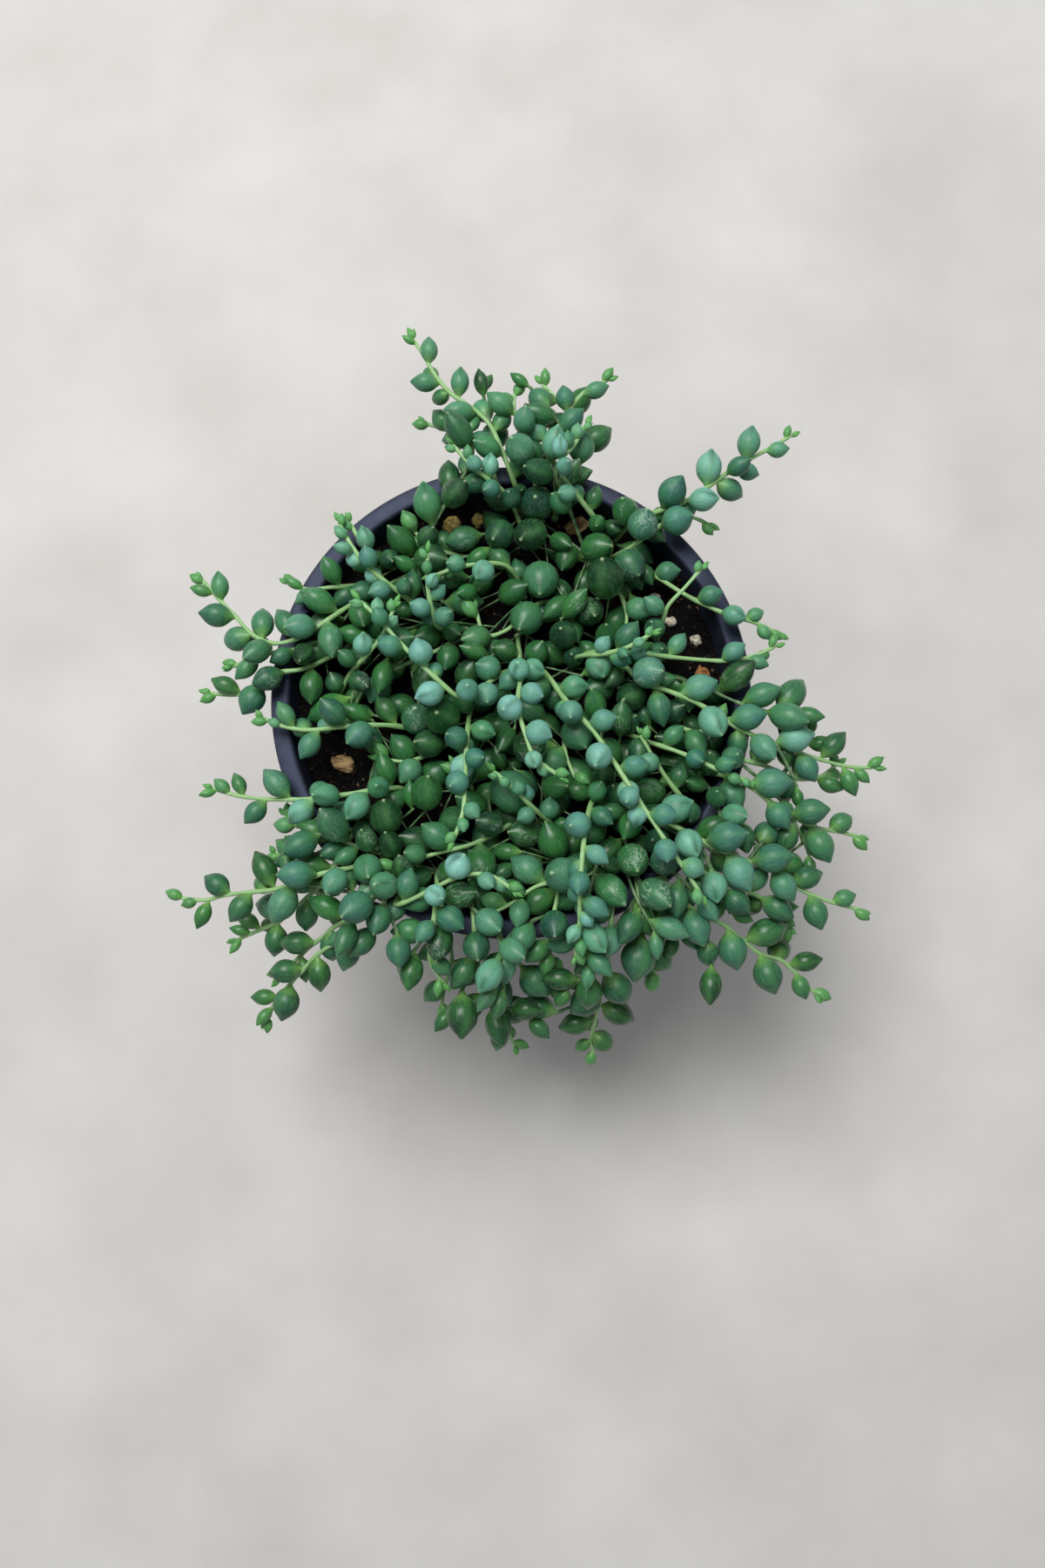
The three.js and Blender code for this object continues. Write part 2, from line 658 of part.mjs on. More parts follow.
function stemSolid(knots) {
  const corners = Array.from({ length: STEM_SIDES }, (_, i) => (2 * Math.PI * i) / STEM_SIDES);
  const section = new THREE.Shape(corners.map((angle) => (
    new THREE.Vector2(STEM_RADIUS * Math.cos(angle), STEM_RADIUS * Math.sin(angle)))));
  const path = new KnotLine(knots);
  return toSolid(new THREE.ExtrudeGeometry(section, { steps: knots.length - 1, extrudePath: path }));
}

// A leaf: pointed at both ends, widest behind its middle, with its foot in the stem.
function leafSolid(leaf) {
  const outline = [[0, 0.02], [0.41, 0.34], [0.44, 0.62], [0, 1]].map(([r, reach]) => (
    new THREE.Vector2(r * leaf.width, reach * leaf.length)));
  const sides = leaf.length < BUD_LENGTH ? BUD_SIDES : LEAF_SIDES;
  const geometry = new THREE.LatheGeometry(outline, sides);
  const turn = new THREE.Quaternion().setFromUnitVectors(
    new THREE.Vector3(0, 1, 0), new THREE.Vector3(...leaf.heading));
  geometry.applyQuaternion(turn).translate(...leaf.base);
  return toSolid(geometry);
}

function plantSolid(name, stems) {
  const [x, y] = PLANTS[name].crown;
  const top = soilHeight(x, y);
  let solid = toSolid(post(CROWN_RADIUS, 4, x, y, top - CROWN_DEPTH, top + CROWN_RISE));
  stems.filter((stem) => stem.name === name).forEach((stem) => {
    solid = solid.add(stemSolid(stem.knots));
    stem.leaves.forEach((leaf) => { solid = solid.add(leafSolid(leaf)); });
  });
  return solid;
}

const group = new THREE.Group();
group.add(toMesh('pot', potSolid(), potPlastic));
group.add(toMesh('soil', soilSolid(), peat));

Object.entries(CRUMBS).forEach(([name, crumb], order) => {
  const material = new THREE.MeshStandardMaterial({ color: crumb.colour, roughness: 0.9, metalness: 0 });
  group.add(toMesh(name, crumbSolid(order, crumb, 0), material));
});

const stems = layStems();
growLeaves(stems);
Object.keys(PLANTS).forEach((name) => {
  group.add(toMesh(`strand_${name}`, plantSolid(name, stems), leafGreen));
});

export default group;
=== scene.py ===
import math

import bmesh
import bpy
import numpy as np
from mathutils import Euler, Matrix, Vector, noise


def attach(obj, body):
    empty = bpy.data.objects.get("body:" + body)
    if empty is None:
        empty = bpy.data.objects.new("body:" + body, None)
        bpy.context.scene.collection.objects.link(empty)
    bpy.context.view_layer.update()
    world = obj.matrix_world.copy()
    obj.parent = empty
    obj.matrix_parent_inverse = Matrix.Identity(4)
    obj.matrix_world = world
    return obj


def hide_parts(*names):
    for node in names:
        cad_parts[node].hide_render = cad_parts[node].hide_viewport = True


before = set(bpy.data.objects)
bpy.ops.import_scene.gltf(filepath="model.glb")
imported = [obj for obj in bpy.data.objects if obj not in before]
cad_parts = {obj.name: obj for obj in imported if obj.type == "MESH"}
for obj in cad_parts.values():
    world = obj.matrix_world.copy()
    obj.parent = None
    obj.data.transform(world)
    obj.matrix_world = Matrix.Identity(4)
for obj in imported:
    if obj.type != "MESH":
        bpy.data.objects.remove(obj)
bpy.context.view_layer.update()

# ---- Pot ------------------------------------------------------------------------------------------
# A round nursery pot injection moulded in one piece of polypropylene, slate grey. Its thin tapered
# wall is folded out at the top into a flat band and down into a skirt, and its floor has drain holes.

# Sizes of the pot and the plants are in millimetres, and MM turns them into metres.
MM = 0.001
POT_HEIGHT = 115
RIM_RADIUS = 75
RIM_BAND = 6
SKIRT_HEIGHT = 12
WALL = 1.6
BASE_RADIUS = 52
FLOOR_THICKNESS = 2
DRAIN_COUNT = 6
DRAIN_RADIUS = 5
DRAIN_CIRCLE = 36
inner_radius = RIM_RADIUS - RIM_BAND


def wall_radius(z):
    """The tapered wall's outer radius at a height."""
    return BASE_RADIUS + (inner_radius + WALL - BASE_RADIUS) * z / POT_HEIGHT


def add_object(name, data):
    made = bpy.data.objects.new(name, data)
    bpy.context.collection.objects.link(made)
    return made


def add_shape(name, body):
    """Turns a bmesh into an object of its own."""
    mesh = bpy.data.meshes.new(name)
    body.to_mesh(mesh)
    body.free()
    return add_object(name, mesh)


def turned(name, outline, sides):
    """A closed body of revolution from its outline of radius and height."""
    body = bmesh.new()
    rings = []
    for radius, height in outline:
        angles = [2 * math.pi * k / sides for k in range(sides if radius else 1)]
        rings.append([body.verts.new((radius * MM * math.cos(a), radius * MM * math.sin(a), height * MM))
                      for a in angles])
    for lower, upper in zip(rings, rings[1:]):
        for k in range(sides):
            corners = [lower[k % len(lower)], lower[(k + 1) % len(lower)],
                       upper[(k + 1) % len(upper)], upper[k % len(upper)]]
            body.faces.new(list(dict.fromkeys(corners)))
    bmesh.ops.recalc_face_normals(body, faces=body.faces)
    return add_shape(name, body)


def bake(piece):
    """Turns a piece's modifiers into its plain mesh."""
    evaluated = piece.evaluated_get(bpy.context.evaluated_depsgraph_get())
    mesh = bpy.data.meshes.new_from_object(evaluated)
    piece.modifiers.clear()
    piece.data = mesh


def fill(tree, node, sockets):
    """Links or fills a node's sockets."""
    for key, value in sockets.items():
        if isinstance(value, bpy.types.NodeSocket):
            tree.links.new(value, node.inputs[key])
        else:
            node.inputs[key].default_value = value


def add_node(tree, kind, sockets=None, **settings):
    """Adds one node with its settings, and links or fills its sockets."""
    made = tree.nodes.new(kind)
    for key, value in settings.items():
        setattr(made, key, value)
    fill(tree, made, sockets or {})
    return made


def colour(code):
    """An sRGB hex value as linear colour."""
    channels = [int(code[i:i + 2], 16) / 255 for i in (1, 3, 5)]
    return [c / 12.92 if c <= 0.04045 else ((c + 0.055) / 1.055) ** 2.4 for c in channels] + [1.0]


def start_material(name):
    """A new material, with its tree, its shader and the place on the piece in metres."""
    material = bpy.data.materials.new(name)
    material.use_nodes = True
    tree = material.node_tree
    place = add_node(tree, "ShaderNodeTexCoord").outputs["Object"]
    return material, tree, tree.nodes["Principled BSDF"], place


def share_of(tree, most, ranges):
    """The most that something comes in by, times how far each value is on its way from low to high."""
    share = most
    for value, low, high in ranges:
        way = add_node(tree, "ShaderNodeMapRange", {"Value": value, "From Min": low, "From Max": high})
        share = add_node(tree, "ShaderNodeMath", {0: way.outputs["Result"], 1: share},
                         operation="MULTIPLY").outputs[0]
    return share


def lay_colours(tree, base, layers):
    """Lays colours over a base in turn, each with the most it covers and the values that bring it in."""
    for code, most, *ranges in layers:
        base = add_node(tree, "ShaderNodeMix", {
            0: share_of(tree, most, ranges), 6: base, 7: colour(code)}, data_type="RGBA").outputs[2]
    return base


# Up the outside of the wall, round the folded band and its skirt, and down the inside to the floor.
pot_outline = [
    (0, 0), (BASE_RADIUS - 1.6, 0), (BASE_RADIUS - 0.6, 0.3), (BASE_RADIUS, 1),
    (wall_radius(40), 40), (wall_radius(80), 80), (wall_radius(112.4), 112.4), (70.9, 113.2),
    (71.8, 113.4), (72.9, 113.4), (73.3, 113.1), (73.4, 112.6), (73.4, 103.5), (73.6, 103.1),
    (74.2, 103), (74.8, 103.1), (RIM_RADIUS, 103.6), (RIM_RADIUS, 113.4), (74.85, 114.2),
    (74.4, 114.8), (73.6, POT_HEIGHT), (71.8, POT_HEIGHT), (70.2, POT_HEIGHT), (69.5, 114.85),
    (69.1, 114.4), (inner_radius, 113.6), (wall_radius(80) - WALL, 80), (wall_radius(40) - WALL, 40),
    (wall_radius(4) - WALL, 4), (wall_radius(3) - WALL - 0.4, 2.6),
    (wall_radius(2) - WALL - 1.2, FLOOR_THICKNESS), (0, FLOOR_THICKNESS),
]
pot_shell = turned("pot_shell", pot_outline, 160)
for k in range(DRAIN_COUNT):
    angle = 2 * math.pi * k / DRAIN_COUNT
    drill = turned("drill", [(0, -2), (DRAIN_RADIUS, -2), (DRAIN_RADIUS, 5), (0, 5)], 32)
    drill.location = (DRAIN_CIRCLE * MM * math.cos(angle), DRAIN_CIRCLE * MM * math.sin(angle), 0)
    cut = pot_shell.modifiers.new("drain", "BOOLEAN")
    cut.operation = "DIFFERENCE"
    cut.solver = "EXACT"
    cut.object = drill
    bake(pot_shell)
    bpy.data.objects.remove(drill)
pot_shell.data.shade_smooth()
pot_shell.data.set_sharp_from_angle(angle=math.radians(38))

# Injection-moulded polypropylene: a satin grey with a faint grain, dull with dried dust on its band
# and with small specks of peat, so its highlights are soft and broken up.
polypropylene, tree, shader, place = start_material("moulded_polypropylene")
# Each pattern's size and detail: the cloudy tone, the dried dust and the specks of peat, which are
# finer on a real pot and drawn as coarse as they need to show.
cloud, dust, speck = (add_node(tree, "ShaderNodeTexNoise", {
    "Vector": place, "Scale": 1 / (size * MM), "Detail": detail}).outputs["Fac"]
    for size, detail in ((18.18, 5.0), (2.381, 3.0), (1.111, 1.0)))
gloss = add_node(tree, "ShaderNodeMapRange", {"Value": cloud, "To Min": 0.42, "To Max": 0.6})
grain = add_node(tree, "ShaderNodeBump", {"Strength": 0.12, "Distance": 0.4 * MM, "Height": dust})
fill(tree, shader, {
    "Base Color": lay_colours(tree, colour("#1b1f2c"), [
        ("#2b303e", 1.0, (cloud, 0.35, 0.7)),
        ("#4c4d57", 0.2, (dust, 0.5, 0.75)),
        ("#2a2320", 0.8, (speck, 0.71, 0.76))]),
    "Roughness": gloss.outputs["Result"], "Normal": grain.outputs["Normal"],
    "IOR": 1.49, "Specular IOR Level": 0.5, "Specular Tint": colour("#b9c4e6")})
pot_shell.data.materials.append(polypropylene)
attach(pot_shell, "root")
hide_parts("pot")

# ---- Soil -----------------------------------------------------------------------------------------
# Damp dark peat mix that fills the pot to 9 mm under the rim: crumbs of peat of a millimetre or two
# lie loose all over its uneven top, with a few fine fibres, pressed in round the plants by hand.

SOIL_TOP = 106
SOIL_SWELL = 0.6
SOIL_RINGS = 30
GAP = 0.3
PEAT_CRUMB = 1.7
GRAINS_PER_MM2 = 0.47
FIBRES_PER_MM2 = 0.009
FULL_TURN = 6.28
soil_floor = FLOOR_THICKNESS + GAP
soil_edge = wall_radius(SOIL_TOP) - WALL - GAP
soil_foot = wall_radius(soil_floor) - WALL - GAP


def soil_height(x, y):
    """The height of the soil's gently uneven top at a place."""
    return SOIL_TOP + SOIL_SWELL * math.sin(0.08 * x + 1.3) * math.cos(0.07 * y - 0.4)


soil_outline = [(0, soil_floor), (soil_foot - 1, soil_floor), (soil_foot + 0.3, soil_floor + 2),
                (soil_edge - 0.4, SOIL_TOP - 3)]
soil_outline += [(soil_edge * (1 - k / SOIL_RINGS), SOIL_TOP) for k in range(SOIL_RINGS + 1)]
soil = turned("soil_bed", soil_outline, 120)
# Pressed by hand, its top has swells about 6 mm across and lumps about 2 mm across.
for vertex in soil.data.vertices:
    x, y, z = (c / MM for c in vertex.co)
    if z > SOIL_TOP - 1:
        lumps = noise.noise(Vector((x, y, 0)) * 0.16) * 1.1 + noise.noise(Vector((x, y, 5)) * 0.5) * 0.6
        vertex.co.z = (soil_height(x, y) + lumps - 0.3) * MM


def peat_grain(name, lengths, seed):
    """A rough lump about one unit across, longer along one axis for a fibre."""
    lump = bmesh.new()
    bmesh.ops.create_icosphere(lump, subdivisions=1, radius=0.5)
    for vertex in lump.verts:
        vertex.co *= 0.8 + 0.5 * noise.noise(vertex.co * 3 + Vector((seed, 0, 0)))
        vertex.co = Vector(c * length for c, length in zip(vertex.co, lengths))
    return add_shape(name, lump)


def start_nodes(name, inputs):
    """A Geometry Nodes tree with its named inputs."""
    tree = bpy.data.node_groups.new(name, "GeometryNodeTree")
    tree.interface.new_socket("Geometry", in_out="OUTPUT", socket_type="NodeSocketGeometry")
    for label, kind in (("Geometry", "Geometry"), *inputs):
        tree.interface.new_socket(label, in_out="INPUT", socket_type="NodeSocket" + kind)
    return tree, add_node(tree, "NodeGroupInput").outputs


def run_nodes(piece, tree, values):
    """Runs a tree on a piece with its inputs, set by identifier, and keeps the result as a plain mesh."""
    modifier = piece.modifiers.new(tree.name, "NODES")
    modifier.node_group = tree
    for item in tree.interface.items_tree:
        if item.in_out == "INPUT" and item.name in values:
            modifier[item.identifier] = values[item.name]
    bake(piece)


grain_shape = peat_grain("peat_grain", (1, 0.8, 0.7), 3)
fibre_shape = peat_grain("peat_fibre", (7, 0.28, 0.28), 9)
peat_tree, given = start_nodes("loose_peat", (
    ("Grain", "Object"), ("Fibre", "Object"), ("Grain size", "Float"), ("Grains per area", "Float"),
    ("Fibres per area", "Float"), ("Soil level", "Float"), ("Peat", "Material")))
spot = add_node(peat_tree, "GeometryNodeInputPosition").outputs[0]
height = add_node(peat_tree, "ShaderNodeSeparateXYZ", {0: spot}).outputs["Z"]
on_top = add_node(peat_tree, "FunctionNodeCompare", {0: height, 1: given["Soil level"]},
                  operation="GREATER_THAN").outputs[0]
layers = [given["Geometry"]]
# The seed, the smallest and the largest size, and the most turn. Fibres lie nearly flat.
for label, density, seed, smallest, largest, most_turn in (
        ("Grain", "Grains per area", 11, 0.35, 1.5, (FULL_TURN, FULL_TURN, FULL_TURN)),
        ("Fibre", "Fibres per area", 23, 0.6, 1.2, (0.3, 0.3, FULL_TURN))):
    spread = add_node(peat_tree, "GeometryNodeDistributePointsOnFaces", {
        "Mesh": given["Geometry"], "Selection": on_top, "Density": given[density], "Seed": seed})
    size = add_node(peat_tree, "FunctionNodeRandomValue", {
        2: smallest, 3: largest, "Seed": seed + 1}, data_type="FLOAT").outputs[1]
    size = add_node(peat_tree, "ShaderNodeMath", {0: size, 1: given["Grain size"]},
                    operation="MULTIPLY").outputs[0]
    turn = add_node(peat_tree, "FunctionNodeRandomValue", {
        0: (0.0, 0.0, 0.0), 1: most_turn, "Seed": seed + 2}, data_type="FLOAT_VECTOR").outputs[0]
    shape = add_node(peat_tree, "GeometryNodeObjectInfo", {"Object": given[label]})
    laid = add_node(peat_tree, "GeometryNodeInstanceOnPoints", {
        "Points": spread.outputs["Points"], "Instance": shape.outputs["Geometry"],
        "Rotation": turn, "Scale": size})
    tone = add_node(peat_tree, "FunctionNodeRandomValue", {
        2: 0.0, 3: 1.0, "Seed": seed + 3}, data_type="FLOAT").outputs[1]
    toned = add_node(peat_tree, "GeometryNodeStoreNamedAttribute", {
        "Geometry": laid.outputs["Instances"], "Name": "peat_tone", "Value": tone},
        data_type="FLOAT", domain="INSTANCE")
    layers.append(toned.outputs["Geometry"])
joined = add_node(peat_tree, "GeometryNodeJoinGeometry")
for layer in reversed(layers):
    peat_tree.links.new(layer, joined.inputs["Geometry"])
solid = add_node(peat_tree, "GeometryNodeRealizeInstances", {"Geometry": joined.outputs[0]})
done = add_node(peat_tree, "GeometryNodeSetMaterial", {
    "Geometry": solid.outputs[0], "Material": given["Peat"]})
add_node(peat_tree, "NodeGroupOutput", {"Geometry": done.outputs[0]})

# Damp peat: almost black, matt, broken up by brown crumbs and a few straw-coloured bits, with pores of
# about 2 mm.
peat, tree, shader, place = start_material("damp_peat_mix")
pores = add_node(tree, "ShaderNodeTexNoise", {
    "Vector": place, "Scale": 1 / (2 * MM), "Detail": 4.0}).outputs["Fac"]
tone = add_node(tree, "ShaderNodeAttribute", attribute_name="peat_tone").outputs["Fac"]
tone = add_node(tree, "ShaderNodeMath", {0: pores, 1: 0.3, 2: tone}, operation="MULTIPLY_ADD").outputs[0]
rough = add_node(tree, "ShaderNodeBump", {"Strength": 0.6, "Distance": 0.6 * MM, "Height": pores})
fill(tree, shader, {
    "Base Color": lay_colours(tree, colour("#070606"), [
        ("#150f0c", 1.0, (tone, 0.1, 0.75)),
        ("#33271f", 1.0, (tone, 0.75, 1.125)),
        ("#8a795f", 1.0, (tone, 1.125, 1.1875))]),
    "Roughness": 0.93, "Specular IOR Level": 0.12, "Normal": rough.outputs["Normal"]})
run_nodes(soil, peat_tree, {
    "Grain": grain_shape, "Fibre": fibre_shape, "Grain size": PEAT_CRUMB * MM,
    "Grains per area": GRAINS_PER_MM2 / MM ** 2, "Fibres per area": FIBRES_PER_MM2 / MM ** 2,
    "Soil level": (SOIL_TOP - 2) * MM, "Peat": peat})
for helper in (grain_shape, fibre_shape):
    bpy.data.objects.remove(helper)
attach(soil, "root")
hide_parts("soil")

# ---- Crumbs on the soil -----------------------------------------------------------------------------
# Pieces of the potting mix that came to the top: porous yellowish pumice, split tan bark, white
# expanded perlite and a reddish-brown clump of coir. They lie half pressed into the peat.

# How high a crumb's middle stands over the soil, as a share of its half height.
CRUMB_RISE = 0.4
# Each crumb's place, its half sizes, its turn in degrees and what it is.
CRUMBS = {
    "pumice_a": ((-19, 58), (3.6, 3.1, 2.4), 20, "pumice"),
    "pumice_b": ((-11, 60), (2.6, 2.2, 1.9), 75, "pumice"),
    "pumice_c": ((-50, 16), (3, 2.5, 2), 40, "pumice"),
    "bark_a": ((21, 58), (4.3, 2.9, 1.7), 15, "bark"),
    "bark_b": ((-53, -20), (4.2, 2.9, 1.7), 160, "bark"),
    "perlite_a": ((46, 34), (2, 1.7, 1.5), 10, "perlite"),
    "perlite_b": ((51, 26), (1.7, 2.1, 1.5), 65, "perlite"),
    "perlite_c": ((59, 20), (2.2, 1.9, 1.6), 120, "perlite"),
    "coir": ((61, 8), (3.6, 2.6, 1.9), 100, "coir"),
}
# Crushed pumice, split pine bark, perlite expanded by heat and torn coir: matt and rough, darker in
# their pits or between their fibres. Each has the size of its pits, drawn out along the fibres.
CRUMB_LOOKS = {
    "pumice": ("crushed_pumice", "#7d6a36", "#cdb568", 1.4286, (1, 1, 1)),
    "bark": ("split_pine_bark", "#634729", "#cba976", 2, (0.25, 1.6, 1.6)),
    "perlite": ("expanded_perlite", "#8b8270", "#dcd3bd", 1.1111, (1, 1, 1)),
    "coir": ("coir_clump", "#66361a", "#b88348", 1.25, (0.3, 1.5, 1.5)),
}
crumb_materials = {}
for stuff, (label, dark, light, pit, stretch) in CRUMB_LOOKS.items():
    crumb_materials[stuff], tree, shader, place = start_material(label)
    drawn = add_node(tree, "ShaderNodeVectorMath", {0: place, 1: stretch}, operation="MULTIPLY").outputs[0]
    pits = add_node(tree, "ShaderNodeTexNoise", {
        "Vector": drawn, "Scale": 1 / (pit * MM), "Detail": 4.0, "Roughness": 0.7}).outputs["Fac"]
    relief = add_node(tree, "ShaderNodeBump", {"Strength": 0.8, "Distance": 0.8 * MM, "Height": pits})
    fill(tree, shader, {
        "Base Color": lay_colours(tree, colour(dark), [(light, 1.0, (pits, 0.38, 0.6))]),
        "Roughness": 0.95, "Normal": relief.outputs["Normal"]})

for order, (name, ((x, y), half, turn, stuff)) in enumerate(CRUMBS.items()):
    lump = bmesh.new()
    bmesh.ops.create_icosphere(lump, subdivisions=3, radius=1)
    for vertex in lump.verts:
        knobs = noise.noise(vertex.co * 1.6 + Vector((order * 5, 0, 0))) * 0.3
        knobs += noise.noise(vertex.co * 4.5 + Vector((0, order * 5, 0))) * 0.16
        vertex.co *= 0.92 + knobs
        vertex.co = Vector(c * reach * MM for c, reach in zip(vertex.co, half))
        vertex.co.rotate(Euler((0, 0, math.radians(turn))))
        vertex.co += Vector((x, y, soil_height(x, y) + half[2] * CRUMB_RISE)) * MM
    piece = add_shape(name + "_lump", lump)
    piece.data.shade_smooth()
    piece.data.materials.append(crumb_materials[stuff])
    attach(piece, "root")
    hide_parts(name)

# ---- Routes of the stems ----------------------------------------------------------------------------
# The plants are rooted all over the pot. Their thin stems trail over the rim on every side, cross high
# over the middle or stay low between the others, and each lies on top of the stems that it meets.

# A root crown's height over the soil, and how far under its top a stem starts.
CROWN_RISE = 2.4
STEM_SINK = 0.6
STEM_RADIUS = 1.1
STEM_CLEAR = 3.1
KNOT_SPACING = 8.5
KNOT_SAMPLES = 4
RUN_STEPS = 16
# A stem that runs through something is lifted off it, knot by knot, in steps of this height.
LIFT = 0.4
MOST_LIFTS = 60

